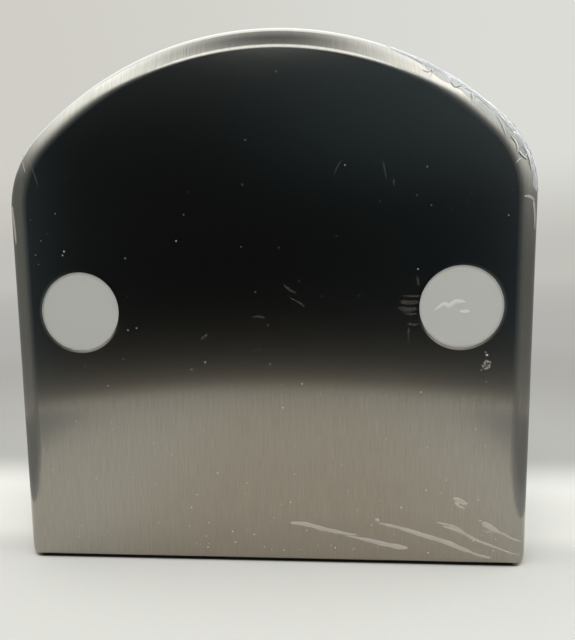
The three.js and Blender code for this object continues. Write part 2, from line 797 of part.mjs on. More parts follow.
function followerPlate() {
  const half = bayWidth / 2 - followerMargin;
  const backEdge = bayBackY - followerMargin - rodY;
  const frontEdge = bayFrontY + sheet + followerMargin - rodY;
  const top = followerZ + followerRim;
  const under = followerZ + followerThickness;
  const wall = followerThickness;
  const tabHalf = tabWidth / 2;
  const tabEnd = bushRadius + followerThickness;
  const pan = block(-half, half, frontEdge, backEdge, followerZ, top);
  const hollow = block(-half + wall, half - wall, frontEdge + wall, backEdge - wall, under, top + overrun);
  const tab = block(-tabHalf, tabHalf, backEdge - wall, tabEnd - rodStand / 2, followerZ, under);
  const eye = bar(tabEnd, followerZ, under, 'z', [0, 0, 0]);
  const mouth = block(-tabHalf, tabHalf, backEdge - 2 * wall, rodY, under, top + overrun);
  const hole = bar(bushRadius + fitGap, followerZ - overrun, top + overrun, 'z', [0, 0, 0]);
  return cut(join([pan.subtract(hollow), tab, eye]), [mouth, hole]);
}

// Bush: a flanged plastic sleeve that carries the follower on its rod.
function followerBush() {
  const flange = bushRadius + followerThickness;
  const inner = rodRadius + fitGap;
  const seat = followerZ - fitGap;
  const profile = [
    [inner, bushBottomZ], [flange, bushBottomZ], [flange, seat], [bushRadius, seat],
    [bushRadius, bushBottomZ + bushHeight], [inner, bushBottomZ + bushHeight], [inner, bushBottomZ],
  ];
  return turned(profile, 'z', [0, 0, 0]);
}

// Assembly
function piece(group, name, solid, finish, position = [0, 0, 0], rotation = [0, 0, 0]) {
  const geometry = solid.isBufferGeometry ? solid : toGeometry(solid);
  const mesh = new THREE.Mesh(geometry, new THREE.MeshStandardMaterial(finishes[finish]));
  mesh.name = name;
  mesh.position.set(...position);
  mesh.rotation.set(...rotation);
  group.add(mesh);
}

const sides = [['left', -1], ['right', 1]];
const housing = new THREE.Group();
const door = new THREE.Group();
const lock = new THREE.Group();
const lockRotor = new THREE.Group();

piece(housing, 'housing_shell', housingShell(), 'brushedStainless');
piece(housing, 'base_tray', baseTray(), 'millStainless');
piece(housing, 'centre_divider', centreDivider(), 'millStainless');
piece(housing, 'rod_rail', rodRail(), 'zincPlate');
piece(housing, 'lock_strike', lockStrike(), 'zincPlate');
piece(housing, 'hinge_leaf_housing', hingeLeaf(1), 'brushedStainless');
piece(housing, 'hinge_pin', hingePin(), 'millStainless');
piece(door, 'door_shell', doorShell(), 'brushedStainless');
piece(door, 'hinge_leaf_door', hingeLeaf(-1), 'brushedStainless');

const insertGeometry = toGeometry(throatInsert());
const rodGeometry = toGeometry(guideRod());
const paneGeometry = toGeometry(windowPane());
const nutGeometry = toGeometry(windowNut());
const plateGeometry = toGeometry(followerPlate());
const bushGeometry = toGeometry(followerBush());
const cabinet = new THREE.Group();
for (const [word, side] of sides) {
  const follower = new THREE.Group();
  follower.position.set(side * bayX, rodY, 0);
  piece(housing, `side_guide_${word}`, sideGuide(side), 'millStainless');
  piece(housing, `throat_insert_${word}`, insertGeometry, 'blackPlastic', [side * bayX, throatY, 0]);
  piece(housing, `guide_rod_${word}`, rodGeometry, 'chromePlate', [side * bayX, rodY, 0]);
  piece(follower, `follower_plate_${word}`, plateGeometry, 'zincPlate');
  piece(follower, `follower_bush_${word}`, bushGeometry, 'whitePlastic');
  piece(door, `window_pane_${word}`, paneGeometry, 'frostedPane', [side * windowX, paneY, windowHeight]);
  piece(door, `window_ring_${word}`, windowRing(side), 'zincPlate', [side * windowX, ringY, windowHeight]);
  studPlaces(side).forEach(([x, z], i) => {
    piece(door, `window_nut_${word}_${i + 1}`, nutGeometry, 'zincPlate', [x, nutY, z]);
  });
  cabinet.add(follower);
}

// Rivets: through the hinge leaves, the tray's flanges, the strike and the back wall
const leafRivet = toGeometry(rivet(leafThickness + fitGap + sheet, true));
const wallRivet = toGeometry(rivet(2 * sheet + fitGap, true));
const strikeRivet = toGeometry(rivet(strikeThickness + strikeWallGap + sheet, true));
const flushRivet = toGeometry(rivet(2 * sheet + 2 * fitGap, false));
leafRivetHeights().forEach((z, i) => {
  const x = leafX - leafThickness - fitGap;
  piece(door, `hinge_rivet_door_${i + 1}`, leafRivet, 'zincPlate', [x, leafRivetY(-1), z]);
  piece(housing, `hinge_rivet_housing_${i + 1}`, leafRivet, 'zincPlate', [x, leafRivetY(1), z]);
});
for (const [word, side] of sides) {
  const turn = side > 0 ? Math.PI : 0;
  trayRivetY.forEach((y, i) => {
    const at = [side * (halfWidth + fitGap), y, trayRivetZ];
    piece(housing, `tray_rivet_${word}_${i + 1}`, wallRivet, 'zincPlate', at, [0, 0, turn]);
  });
}
strikeRivetY.forEach((y, i) => {
  const at = [halfWidth + fitGap, y, strikeMidZ];
  piece(housing, `strike_rivet_${i + 1}`, strikeRivet, 'zincPlate', at, [0, 0, Math.PI]);
});
for (const [name, x, z] of backRivets) {
  const at = [x, flangeY - fitGap, z];
  piece(housing, name, flushRivet, 'zincPlate', at, [0, 0, Math.PI / 2]);
}

piece(lock, 'lock_barrel', lockBarrel(), 'chromePlate');
piece(lock, 'lock_nut', lockNut(), 'zincPlate');
piece(lockRotor, 'lock_plug', lockPlug(), 'chromePlate');
piece(lockRotor, 'lock_cam', lockCam(), 'zincPlate');
piece(lockRotor, 'cam_screw', camScrew(), 'zincPlate');
lock.position.set(halfWidth, lockY, lockZ);
lock.add(lockRotor);
door.add(lock);
cabinet.add(housing, door);

export default cabinet;
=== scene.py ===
"""Looks for a twin stack napkin dispenser: an arched cabinet of brushed stainless steel.

Every piece is built in metres, in the same frame as the solids that it dresses:
X to the right, the front facing -Y, Z up, and the origin on the surface under the cabinet.
"""

import json
import math
import random
from collections import namedtuple

import bmesh
import bpy
from bpy.props import FloatProperty, PointerProperty, StringProperty
from mathutils import Matrix, Vector, noise

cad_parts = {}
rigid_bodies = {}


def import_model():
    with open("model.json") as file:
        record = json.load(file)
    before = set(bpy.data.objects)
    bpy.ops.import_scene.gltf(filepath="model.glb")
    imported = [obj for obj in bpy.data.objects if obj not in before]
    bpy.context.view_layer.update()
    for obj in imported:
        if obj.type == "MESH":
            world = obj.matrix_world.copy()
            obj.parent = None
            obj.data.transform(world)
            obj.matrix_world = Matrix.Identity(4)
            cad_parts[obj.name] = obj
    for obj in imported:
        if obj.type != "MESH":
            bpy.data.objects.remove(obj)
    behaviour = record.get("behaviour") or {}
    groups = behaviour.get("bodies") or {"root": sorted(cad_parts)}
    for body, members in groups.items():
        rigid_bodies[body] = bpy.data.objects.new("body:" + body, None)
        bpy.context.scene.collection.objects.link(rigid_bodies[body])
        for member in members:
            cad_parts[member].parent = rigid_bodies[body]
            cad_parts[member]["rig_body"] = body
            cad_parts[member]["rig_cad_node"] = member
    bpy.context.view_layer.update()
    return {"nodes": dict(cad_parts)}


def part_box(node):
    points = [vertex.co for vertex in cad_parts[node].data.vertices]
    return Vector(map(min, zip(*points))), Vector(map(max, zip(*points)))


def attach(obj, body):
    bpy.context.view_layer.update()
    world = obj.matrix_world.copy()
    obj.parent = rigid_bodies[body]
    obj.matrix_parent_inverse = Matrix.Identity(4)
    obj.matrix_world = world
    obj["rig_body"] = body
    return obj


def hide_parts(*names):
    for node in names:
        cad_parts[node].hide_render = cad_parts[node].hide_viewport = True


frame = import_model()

bl_info = {
    "name": "Napkin dispenser",
    "version": (1, 0, 0),
    "blender": (4, 5, 0),
    "location": "View3D > Sidebar > Dispenser",
    "description": "Builds the finished pieces of an arched steel napkin dispenser",
    "category": "Add Mesh",
}

MM = 0.001

Rim = namedtuple("Rim", "x z nx nz depth inner_x inner_z")


# Sizes read from the frame
DOOR_LOW, DOOR_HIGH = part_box("door_shell")
HOUSING_LOW, HOUSING_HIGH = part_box("housing_shell")
WINDOW_LOW, WINDOW_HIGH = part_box("window_pane_right")
HALF_WIDTH = DOOR_HIGH.x
FRONT_Y = DOOR_LOW.y
BACK_Y = HOUSING_HIGH.y
TOP_Z = DOOR_HIGH.z
WINDOW_X = (WINDOW_LOW.x + WINDOW_HIGH.x) / 2
WINDOW_Z = (WINDOW_LOW.z + WINDOW_HIGH.z) / 2
PANE_RADIUS = (WINDOW_HIGH.x - WINDOW_LOW.x) / 2
PANE_FRONT = FRONT_Y + 0.2 * MM

# How far a cutter stands out of what it cuts, and the usual width of a broken edge on a solid
CLEARANCE = 5 * MM
SOLID_BREAK = 0.25 * MM


def length(name, description, millimetres):
    """A length that a user may change."""
    return FloatProperty(name=name, description=description, default=millimetres * MM, unit="LENGTH")


def colour(name, description, code):
    """A colour that a user may change, written as an sRGB hex value."""
    return StringProperty(name=name, description=description, default=code)


class CabinetSizes(bpy.types.PropertyGroup):
    """Sizes of the pressed steel pieces that their boxes don't tell."""

    sheet: length("Sheet", "Thickness of the steel sheet", 1)
    arch_rise: length("Arch rise", "Height of the arch over the straight sides", 96.2)
    shoulder_radius: length("Shoulder radius", "Radius where the sides turn into the crown", 60)
    corner_radius: length("Corner radius", "Radius of the two lower corners", 6)
    rim_width: length("Rim width", "Width of the front's rolled rim, seen from in front", 12.7)
    rim_depth: length("Rim depth", "Depth of the front's rolled rim", 11)
    bottom_bend: length("Bottom bend", "Radius of the bend along the bottom edge", 3)
    back_bend: length("Back bend", "Radius of the bend round the back wall", 3)
    face_corner: length("Face corner", "Radius of the flat face's lower corners", 2)
    window_radius: length("Window radius", "Radius of the two round windows", 22.8)
    window_roll: length("Window roll", "Width of the punched rise round each window", 2)
    window_rise: length("Window rise", "Height of the punched rise round each window", 0.2)
    bottom_flange: length("Bottom flange", "Depth of the flanges under the cabinet", 12)
    side_return: length("Side return", "Width left beside the opening in the bottom", 4)
    edge_break: length("Edge break", "Width of the broken edges on cut sheet", 0.18)


class FilmSizes(bpy.types.PropertyGroup):
    """Sizes of the protective film's folds and blisters."""

    thickness: length("Thickness", "Thickness of a fold in the film", 0.16)
    stand_off: length("Stand off", "Gap under the lifted film on the shoulder", 0.5)
    ripple: length("Ripple", "Height of the ripples in the lifted film", 0.55)


class Colours(bpy.types.PropertyGroup):
    """Colours of the finishes and of the stage."""

    steel: colour("Steel", "Brushed stainless steel", "a7a298")
    steel_streak: colour("Steel streak", "Darker lines of the brushing", "98938a")
    mill: colour("Mill sheet", "Cold rolled stainless sheet", "b2b1ad")
    mill_shade: colour("Mill shade", "Clouds in the rolled sheet", "9d9c99")
    zinc: colour("Zinc", "Bright zinc plate", "b9bcbe")
    zinc_tint: colour("Zinc tint", "Warm tint of the passivated plate", "b3ab98")
    chrome: colour("Chrome", "Chromium plate", "cfd1d2")
    pane: colour("Pane", "Opal acrylic of the windows", "c3c2bd")
    black: colour("Black", "Black moulded plastic", "1b1b1c")
    white: colour("White", "White moulded plastic", "d9d8d2")
    film: colour("Film", "Polyethylene film where it has lifted", "d6cfc3")
    crease: colour("Crease", "Polyethylene film where it is creased white", "f0efea")
    clear_film: colour("Clear film", "Polyethylene film by itself", "d2d3d4")
    floor: colour("Floor", "Pale table top", "f6f5f0")
    wall_foot: colour("Wall foot", "Foot of the wall, in the shade", "b3b1ad")
    wall_edge: colour("Wall edge", "Wall at the height of the eye", "c2c0ba")
    wall: colour("Wall", "Pale wall behind, on the left", "d0cec7")
    wall_right: colour("Wall right", "Pale wall behind, on the right", "dbdcd6")


def sizes():
    """The cabinet's chosen sizes."""
    return bpy.context.scene.cabinet_sizes


def film_sizes():
    """The film's chosen sizes."""
    return bpy.context.scene.film_sizes


def linear(code):
    """Turns an sRGB hex value to the linear colour that the shaders take."""
    channels = []
    for start in (0, 2, 4):
        value = int(code[start:start + 2], 16) / 255
        channels.append(value / 12.92 if value <= 0.04045 else ((value + 0.055) / 1.055) ** 2.4)
    return (*channels, 1.0)


# Mesh work, as it is done by hand

def deselect():
    bpy.ops.object.select_all(action="DESELECT")


def take(piece):
    """Selects one object alone."""
    deselect()
    piece.select_set(True)
    bpy.context.view_layer.objects.active = piece


def select_where(piece, test):
    """In edit mode, selects the vertices that pass a test, and what lies between them."""
    shape = bmesh.from_edit_mesh(piece.data)
    for face in shape.faces:
        face.select = False
    for edge in shape.edges:
        edge.select = False
    for vert in shape.verts:
        vert.select = test(vert)
    shape.select_flush_mode()
    bmesh.update_edit_mesh(piece.data)


def place_selected(piece, ring, flats, number):
    """Moves the selected loop onto a ring of points, and notes where each lies on the flat blank."""
    shape = bmesh.from_edit_mesh(piece.data)
    step = shape.verts.layers.int["step"]
    ring_number = shape.verts.layers.int["ring"]
    blank = shape.verts.layers.float_vector["blank"]
    for vert in shape.verts:
        if vert.select:
            vert.co = ring[vert[step]]
            vert[ring_number] = number
            if flats:
                u, v = flats[vert[step]]
                vert[blank] = (u, v, 1)
    bmesh.update_edit_mesh(piece.data)


def number_selected(piece):
    """Numbers the vertices of a new loop."""
    shape = bmesh.from_edit_mesh(piece.data)
    layers = shape.verts.layers
    if "step" not in layers.int:
        layers.int.new("step")
        layers.int.new("ring")
        layers.float_vector.new("blank")
    step = layers.int["step"]
    for index, vert in enumerate(vert for vert in shape.verts if vert.select):
        vert[step] = index
    bmesh.update_edit_mesh(piece.data)


def grow(name, rings, flats=None, caps=True, hoop=False):
    """Extrudes a loop of edges from ring to ring, then closes its ends or joins them."""
    deselect()
    bpy.ops.mesh.primitive_circle_add(vertices=len(rings[0]), radius=MM, fill_type="NOTHING")
    piece = bpy.context.object
    piece.name = piece.data.name = name
    bpy.ops.object.mode_set(mode="EDIT")
    bpy.ops.mesh.select_all(action="SELECT")
    number_selected(piece)
    stack = list(rings) + ([rings[0]] if hoop else [])
    for number, ring in enumerate(stack):
        if number:
            bpy.ops.mesh.extrude_region_move()
        place_selected(piece, ring, flats[number] if flats else None, number)
    if hoop:
        bpy.ops.mesh.select_all(action="SELECT")
        bpy.ops.mesh.remove_doubles(threshold=0.001 * MM)
    elif caps:
        for end in (0, len(stack) - 1):
            layer = bmesh.from_edit_mesh(piece.data).verts.layers.int["ring"]
            select_where(piece, lambda vert: vert[layer] == end)
            bpy.ops.mesh.edge_face_add()
    if hoop or caps:
        bpy.ops.mesh.select_all(action="SELECT")
        bpy.ops.mesh.normals_make_consistent(inside=False)
    bpy.ops.object.mode_set(mode="OBJECT")
    return piece


def across(axis):
    """Two directions square to an axis and to each other."""
    along = Vector(axis)
    side = Vector((0, 0, 1)) if abs(along.z) < 0.5 else Vector((1, 0, 0))
    return side, along.cross(side)


def turns(steps):
    """The angles of so many points round a circle."""
    return [2 * math.pi * i / steps for i in range(steps)]


def quarter(steps):
    """Sine and cosine of the angles from 0 to 90 degrees."""
    angles = [math.pi / 2 * step / steps for step in range(steps + 1)]
    return [(math.sin(angle), math.cos(angle)) for angle in angles]


def turned(name, profile, axis, at=(0, 0, 0), steps=40, hoop=False, angle=32):
    """A turned piece; its profile is a list of (radius, distance along the axis)."""
    first, second = across(axis)
    rings = []
    for radius, far in profile:
        centre = Vector(at) + Vector(axis) * far
        rings.append([centre + radius * (math.cos(a) * first + math.sin(a) * second) for a in turns(steps)])
    return smooth(grow(name, rings, hoop=hoop), angle)


def box_piece(name, low, high):
    """A block between two corners."""
    deselect()
    centre = [(a + b) / 2 for a, b in zip(low, high)]
    bpy.ops.mesh.primitive_cube_add(size=1, location=centre)
    piece = bpy.context.object
    piece.name = piece.data.name = name
    piece.scale = [b - a for a, b in zip(low, high)]
    bpy.ops.object.transform_apply(location=True, rotation=True, scale=True)
    return piece


def apply_modifier(piece, kind, **settings):
    take(piece)
    modifier = piece.modifiers.new(kind.title(), kind)
    for key, value in settings.items():
        setattr(modifier, key, value)
    bpy.ops.object.modifier_apply(modifier=modifier.name)


def subtract(piece, cutter):
    """Cuts a piece, and removes the cutter."""
    apply_modifier(piece, "BOOLEAN", object=cutter, operation="DIFFERENCE", solver="EXACT")
    bpy.data.objects.remove(cutter)


def join_pieces(name, pieces):
    """Joins pieces into the first of them, under a name."""
    take(pieces[0])
    for piece in pieces[1:]:
        piece.select_set(True)
    if len(pieces) > 1:
        bpy.ops.object.join()
    pieces[0].name = pieces[0].data.name = name
    return pieces[0]


def break_edges(piece, width, segments=2):
    """Rounds the edges sharper than 35 degrees a little and smooths the rest."""
    apply_modifier(
        piece, "BEVEL", width=width, segments=segments, limit_method="ANGLE",
        angle_limit=math.radians(35), use_clamp_overlap=True, miter_outer="MITER_ARC",
    )
    smooth(piece)


def smooth(piece, angle=32):
    """Shades a piece smooth up to an angle, and gives it back."""
    take(piece)
    bpy.ops.object.shade_smooth_by_angle(angle=math.radians(angle))
    return piece


def flatten_shading(piece):
    """Lets the wide flat faces decide the shading, so that a hole in a sheet doesn't tint it."""
    apply_modifier(piece, "WEIGHTED_NORMAL", mode="FACE_AREA", weight=80, keep_sharp=True)


def duplicate(piece, name, offset, turn=None):
    """A copy with its own mesh, turned about the first piece's middle and moved."""
    copy = piece.copy()
    copy.data = piece.data.copy()
    copy.name = copy.data.name = name
    bpy.context.scene.collection.objects.link(copy)
    if turn is not None:
        copy.data.transform(turn)
    copy.data.transform(Matrix.Translation(offset))
    return copy


def dress(piece, finish, body, *nodes):
    """Gives a finished piece its material and body, and hides the nodes that it stands for."""
    piece.data.materials.clear()
    piece.data.materials.append(finish_of(finish))
    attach(piece, body)
    if nodes:
        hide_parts(*nodes)


def refined(node, name, width):
    """A merged copy of a node's solid, with its edges broken."""
    piece = frame["nodes"][node].copy()
    piece.data = piece.data.copy()
    piece.parent = None
    piece.name = piece.data.name = name
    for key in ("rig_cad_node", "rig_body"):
        if key in piece:
            del piece[key]
    bpy.context.scene.collection.objects.link(piece)
    take(piece)
    bpy.ops.object.mode_set(mode="EDIT")
    bpy.ops.mesh.select_all(action="SELECT")
    bpy.ops.mesh.remove_doubles(threshold=0.005 * MM)
    bpy.ops.mesh.dissolve_limited(angle_limit=math.radians(1))
    bpy.ops.object.mode_set(mode="OBJECT")
    break_edges(piece, width)
    flatten_shading(piece)
    return piece


def dress_solid(node, name, finish, body, width=SOLID_BREAK):
    """Dresses a node with its own solid, whose edges are broken."""
    dress(refined(node, name, width), finish, body, node)


# The cabinet's outline

CORNER_STEPS = 10
SHOULDER_STEPS = 30
CROWN_STEPS = 44
RIM_STEPS = 14

# Ring numbers of a hole's outline in the face, and of the rolled edge inside it
HOLE_RING, ROLL_RING = -1, -2


def crown_circle():
    """Radius and height of the centre of the arch's crown, which meets both shoulders."""
    s = sizes()
    shoulder_x = HALF_WIDTH - s.shoulder_radius
    rise = s.arch_rise
    radius = (shoulder_x ** 2 + rise ** 2 - s.shoulder_radius ** 2) / (2 * (rise - s.shoulder_radius))
    return radius, TOP_Z - radius


def ease(share):
    """Smooth step from 0 to 1."""
    share = min(max(share, 0), 1)
    return share * share * (3 - 2 * share)


def arch_outline(bottom, back=False):
    """Points round the cabinet seen from in front, from the lower right corner anticlockwise.

    Each has its outward normal, the depth of the rim there, and the place where the flat face ends.
    """
    s = sizes()
    side_top = TOP_Z - s.arch_rise
    shoulder_x = HALF_WIDTH - s.shoulder_radius
    crown_radius, crown_z = crown_circle()
    join_angle = math.atan2(side_top - crown_z, shoulder_x)
    side_width, side_bend = (s.back_bend, s.back_bend) if back else (s.rim_width, s.rim_depth)
    foot_bend = s.back_bend if back else s.bottom_bend
    face_corner = max(s.corner_radius - side_width, s.face_corner)
    right = []

    def arc(centre_x, centre_z, radius, start, end, steps, first):
        for step in range(first, steps + 1):
            angle = start + (end - start) * step / steps
            nx, nz = math.cos(angle), math.sin(angle)
            inner = radius - side_width
            right.append(Rim(centre_x + radius * nx, centre_z + radius * nz, nx, nz, side_bend,
                             centre_x + inner * nx, centre_z + inner * nz))

    for step in range(CORNER_STEPS + 1):
        share = step / CORNER_STEPS
        angle = math.pi / 2 * (share - 1)
        nx, nz = math.cos(angle), math.sin(angle)
        right.append(Rim(
            HALF_WIDTH - s.corner_radius + s.corner_radius * nx,
            bottom + s.corner_radius + s.corner_radius * nz,
            nx, nz, foot_bend + (side_bend - foot_bend) * ease(share),
            HALF_WIDTH - side_width - face_corner + face_corner * nx,
            bottom + foot_bend + face_corner + face_corner * nz,
        ))
    arc(shoulder_x, side_top, s.shoulder_radius, 0, join_angle, SHOULDER_STEPS, 0)
    arc(0, crown_z, crown_radius, join_angle, math.pi / 2, CROWN_STEPS, 1)
    left = [Rim(-p.x, p.z, -p.nx, p.nz, p.depth, -p.inner_x, p.inner_z) for p in reversed(right[:-1])]
    return right + left


def pan(name, outline, face_y, open_y, holes):
    """A pressed pan: a flat face with holes, a rolled rim and straight walls, still without thickness.

    The map called flat gives each point its place on the blank before pressing, so that the
    brushing runs unbroken from the face over the rim and down the walls.
    """
    inward = 1 if open_y > face_y else -1
    support = 0.4 * MM
    wall = abs(open_y - face_y)
    rings = []
    flats = []
    unrolled = [-support] * len(outline)

    def add(share, depth):
        """Adds the ring at a share of the way from the face's end to the outermost line."""
        ring = [Vector((p.inner_x + (p.x - p.inner_x) * share(p), face_y + inward * depth(p),
                        p.inner_z + (p.z - p.inner_z) * share(p))) for p in outline]
        if rings:
            for i, (here, before) in enumerate(zip(ring, rings[-1])):
                unrolled[i] += (here - before).length
        rings.append(ring)
        flats.append([(p.inner_x + p.nx * out, p.inner_z + p.nz * out) for p, out in zip(outline, unrolled)])

    add(lambda p: -support / math.hypot(p.x - p.inner_x, p.z - p.inner_z), lambda p: 0)
    for sine, cosine in quarter(RIM_STEPS):
        add(lambda p: sine, lambda p: p.depth * (1 - cosine))
    add(lambda p: 1, lambda p: p.depth + support)
    add(lambda p: 1, lambda p: wall)
    piece = grow(name, rings, flats, caps=False)
    take(piece)
    bpy.ops.object.mode_set(mode="EDIT")
    for loop, roll in holes:
        punch(piece, loop, face_y, inward, roll)
    layers = bmesh.from_edit_mesh(piece.data).verts.layers
    blank = layers.float_vector["blank"]
    ring = layers.int["ring"]
    select_where(piece, lambda v: (v[blank].z > 0.5 and v[ring] == 0) or v[ring] == HOLE_RING)
    bpy.ops.mesh.fill(use_beauty=True)
    bpy.ops.mesh.select_all(action="SELECT")
    bpy.ops.mesh.normals_make_consistent(inside=False)
    shape = bmesh.from_edit_mesh(piece.data)
    widest = max(shape.faces, key=lambda face: face.calc_area())
    if widest.normal.y * inward > 0:
        bpy.ops.mesh.flip_normals()
    write_flat_map(piece)
    bpy.ops.object.mode_set(mode="OBJECT")
    return piece


def punch(piece, loop, face_y, inward, roll):
    """Adds a hole's outline to the face, and the roll of its edge where it has one."""
    width, sink = roll
    middle_x, middle_z = (sum(values) / len(loop) for values in zip(*loop))
    centre = Vector((middle_x, face_y, middle_z))
    bpy.ops.mesh.primitive_circle_add(vertices=len(loop), radius=MM, fill_type="NOTHING", location=centre)
    number_selected(piece)
    place_selected(piece, [(x, face_y, z) for x, z in loop], None, HOLE_RING)
    if not width:
        return
    radius = (Vector((loop[0][0], face_y, loop[0][1])) - centre).length
    roll_steps = 5
    for step in range(1, roll_steps + 1):
        bpy.ops.mesh.extrude_region_move()
        shape = bmesh.from_edit_mesh(piece.data)
        ring = shape.verts.layers.int["ring"]
        share = step / roll_steps
        for vert in shape.verts:
            if vert.select:
                out = vert.co - centre
                out.y = 0
                out.normalize()
                vert.co = centre + out * (radius - width * share)
                vert.co.y = face_y + inward * sink * share * share
                vert[ring] = ROLL_RING
        bmesh.update_edit_mesh(piece.data)


def write_flat_map(piece):
    """Writes the map called flat, from the place on the blank or from the place on the face."""
    shape = bmesh.from_edit_mesh(piece.data)
    blank = shape.verts.layers.float_vector["blank"]
    uv = shape.loops.layers.uv.get("flat") or shape.loops.layers.uv.new("flat")
    for face in shape.faces:
        for loop in face.loops:
            place = loop.vert[blank]
            if place.z > 0.5:
                loop[uv].uv = (place.x, place.y)
            else:
                loop[uv].uv = (loop.vert.co.x, loop.vert.co.z)
    bmesh.update_edit_mesh(piece.data)


def window_loop(side):
    """The line round a window where its rolled edge starts."""
    radius = sizes().window_radius + sizes().window_roll
    return [(side * WINDOW_X + radius * math.cos(a), WINDOW_Z + radius * math.sin(a)) for a in turns(120)]


KEYHOLE_X = 95 * MM
KEYHOLE_HEIGHTS = (70 * MM, 215 * MM)
KEYHOLE_RADIUS = 4.5 * MM
KEYHOLE_SLOT = 2.5 * MM
KEYHOLE_RISE = 9 * MM


def keyhole_loop(x, z):
    """A round hole with a narrower slot above it."""
    half = math.asin(KEYHOLE_SLOT / KEYHOLE_RADIUS)
    loop = []
    for radius, rise, start, end, steps in (
        (KEYHOLE_RADIUS, 0, math.pi / 2 + half, 2 * math.pi + math.pi / 2 - half, 40),
        (KEYHOLE_SLOT, KEYHOLE_RISE, 0, math.pi, 16),
    ):
        for i in range(steps + 1):
            angle = start + (end - start) * i / steps
            loop.append((x + radius * math.cos(angle), z + rise + radius * math.sin(angle)))
    return loop


def finish_pan(piece, y_from, y_to, low, top):
    """Gives a pan its sheet thickness inwards, opens its bottom and breaks its edges."""
    s = sizes()
    apply_modifier(piece, "SOLIDIFY", thickness=s.sheet, offset=-1, use_even_offset=True)
    reach = HALF_WIDTH - s.side_return
    subtract(piece, box_piece("cutter", (-reach, y_from, low - CLEARANCE), (reach, y_to, top)))
    break_edges(piece, s.edge_break)
    flatten_shading(piece)


STUD_PLACES = [f"{word}_{number}" for word in ("left", "right") for number in (1, 2, 3)]


def middle(node):
    """The middle of a node's box."""
    low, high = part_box(node)
    return (low + high) / 2


class DISPENSER_OT_front(bpy.types.Operator):
    """Press the front: flat face, rolled rim, two windows and the studs behind them"""

    bl_idname = "dispenser.front"
    bl_label = "Front"

    def execute(self, context):
        s = sizes()
        roll = (s.window_roll, -s.window_rise)
        holes = [(window_loop(side), roll) for side in (-1, 1)]
        piece = pan("front_pan", arch_outline(DOOR_LOW.z), FRONT_Y, DOOR_HIGH.y, holes)
        finish_pan(piece, FRONT_Y + s.bottom_flange, DOOR_HIGH.y + CLEARANCE,
                   DOOR_LOW.z, DOOR_LOW.z + s.corner_radius)
        dress(piece, "brushed_stainless", "door", "door_shell")
        radius, chamfer = 2 * MM, 0.4 * MM
        start, end = FRONT_Y + s.sheet * 0.6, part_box("window_nut_left_1")[1].y + s.sheet
        profile = [(radius, start), (radius, end - chamfer), (radius - chamfer, end)]
        stud = turned("window_stud", profile, (0, 1, 0), steps=24)
        for place in STUD_PLACES:
            centre = middle(f"window_nut_{place}")
            copy = duplicate(stud, f"window_stud_{place}", (centre.x, 0, centre.z))
            dress(copy, "mill_stainless", "door")
        bpy.data.objects.remove(stud)
        return {"FINISHED"}


def wall_point(side, z):
    """A point of the outline on one of the straight walls."""
    return Rim(side * HALF_WIDTH, z, side, 0, 0, side * HALF_WIDTH, z)


class DISPENSER_OT_housing(bpy.types.Operator):
    """Press the housing: back wall with keyholes, walls, and the lip that the front closes over"""

    bl_idname = "dispenser.housing"
    bl_label = "Housing"

    def execute(self, context):
        s = sizes()
        gap, reach, foot = 0.6 * MM, 6 * MM, 17.3 * MM
        outline = arch_outline(HOUSING_LOW.z, back=True)
        holes = [(keyhole_loop(side * KEYHOLE_X, z), (0, 0)) for side in (-1, 1) for z in KEYHOLE_HEIGHTS]
        parting = DOOR_HIGH.y + gap
        piece = pan("housing_pan", outline, BACK_Y, parting, holes)
        finish_pan(piece, parting - CLEARANCE, BACK_Y - s.bottom_flange, HOUSING_LOW.z, s.corner_radius)
        dress(piece, "brushed_stainless", "housing", "housing_shell")

        outer = s.sheet + gap
        profile = [
            (outer, parting - reach), (outer, parting), (s.sheet, parting), (s.sheet, parting + reach),
            (outer + s.sheet, parting + reach), (outer + s.sheet, parting - reach),
        ]
        # The lip leaves room for the lock and its strike on the right wall
        notch_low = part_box("lock_nut")[0].z - s.sheet
        notch_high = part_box("lock_strike")[1].z + s.sheet
        below = [wall_point(1, foot), wall_point(1, notch_low)]
        above = [p for p in outline if p.z > notch_high or (p.x < 0 and p.z > foot)]
        above = [wall_point(1, notch_high)] + above + [wall_point(-1, foot)]
        for name, run in (("housing_lip_low", below), ("housing_lip", above)):
            sections = [[(p.x - p.nx * inset, y, p.z - p.nz * inset) for inset, y in profile] for p in run]
            lip = grow(name, sections)
            break_edges(lip, s.edge_break)
            dress(lip, "mill_stainless", "housing")
        return {"FINISHED"}


class DISPENSER_OT_windows(bpy.types.Operator):
    """Fit the windows: opal panes that fill their holes, and the rings and nuts that hold them"""

    bl_idname = "dispenser.windows"
    bl_label = "Windows"

    def execute(self, context):
        low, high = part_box("window_pane_left")
        chamfer, gap = 0.3 * MM, 0.35 * MM
        raised = sizes().window_radius - gap
        profile = [
            (raised - chamfer, PANE_FRONT), (raised, PANE_FRONT + chamfer), (raised, low.y),
            (PANE_RADIUS, low.y), (PANE_RADIUS, high.y - chamfer), (PANE_RADIUS - chamfer, high.y),
        ]
        left = turned("opal_pane_left", profile, (0, 1, 0), (-WINDOW_X, 0, WINDOW_Z), steps=96)
        right = duplicate(left, "opal_pane_right", (2 * WINDOW_X, 0, 0))
        for word, pane in (("left", left), ("right", right)):
            dress(pane, "frosted_pane", "door", f"window_pane_{word}")
            dress_solid(f"window_ring_{word}", f"clamp_ring_{word}", "zinc_plate", "door", 0.15 * MM)
        first = f"window_nut_{STUD_PLACES[0]}"
        nut = hex_nut("pane_nut", first, (0, 1, 0), 2.1 * MM)
        for place in STUD_PLACES:
            node = f"window_nut_{place}"
            copy = duplicate(nut, f"pane_nut_{place}", middle(node) - middle(first))
            dress(copy, "zinc_plate", "door", node)
        bpy.data.objects.remove(nut)
        return {"FINISHED"}


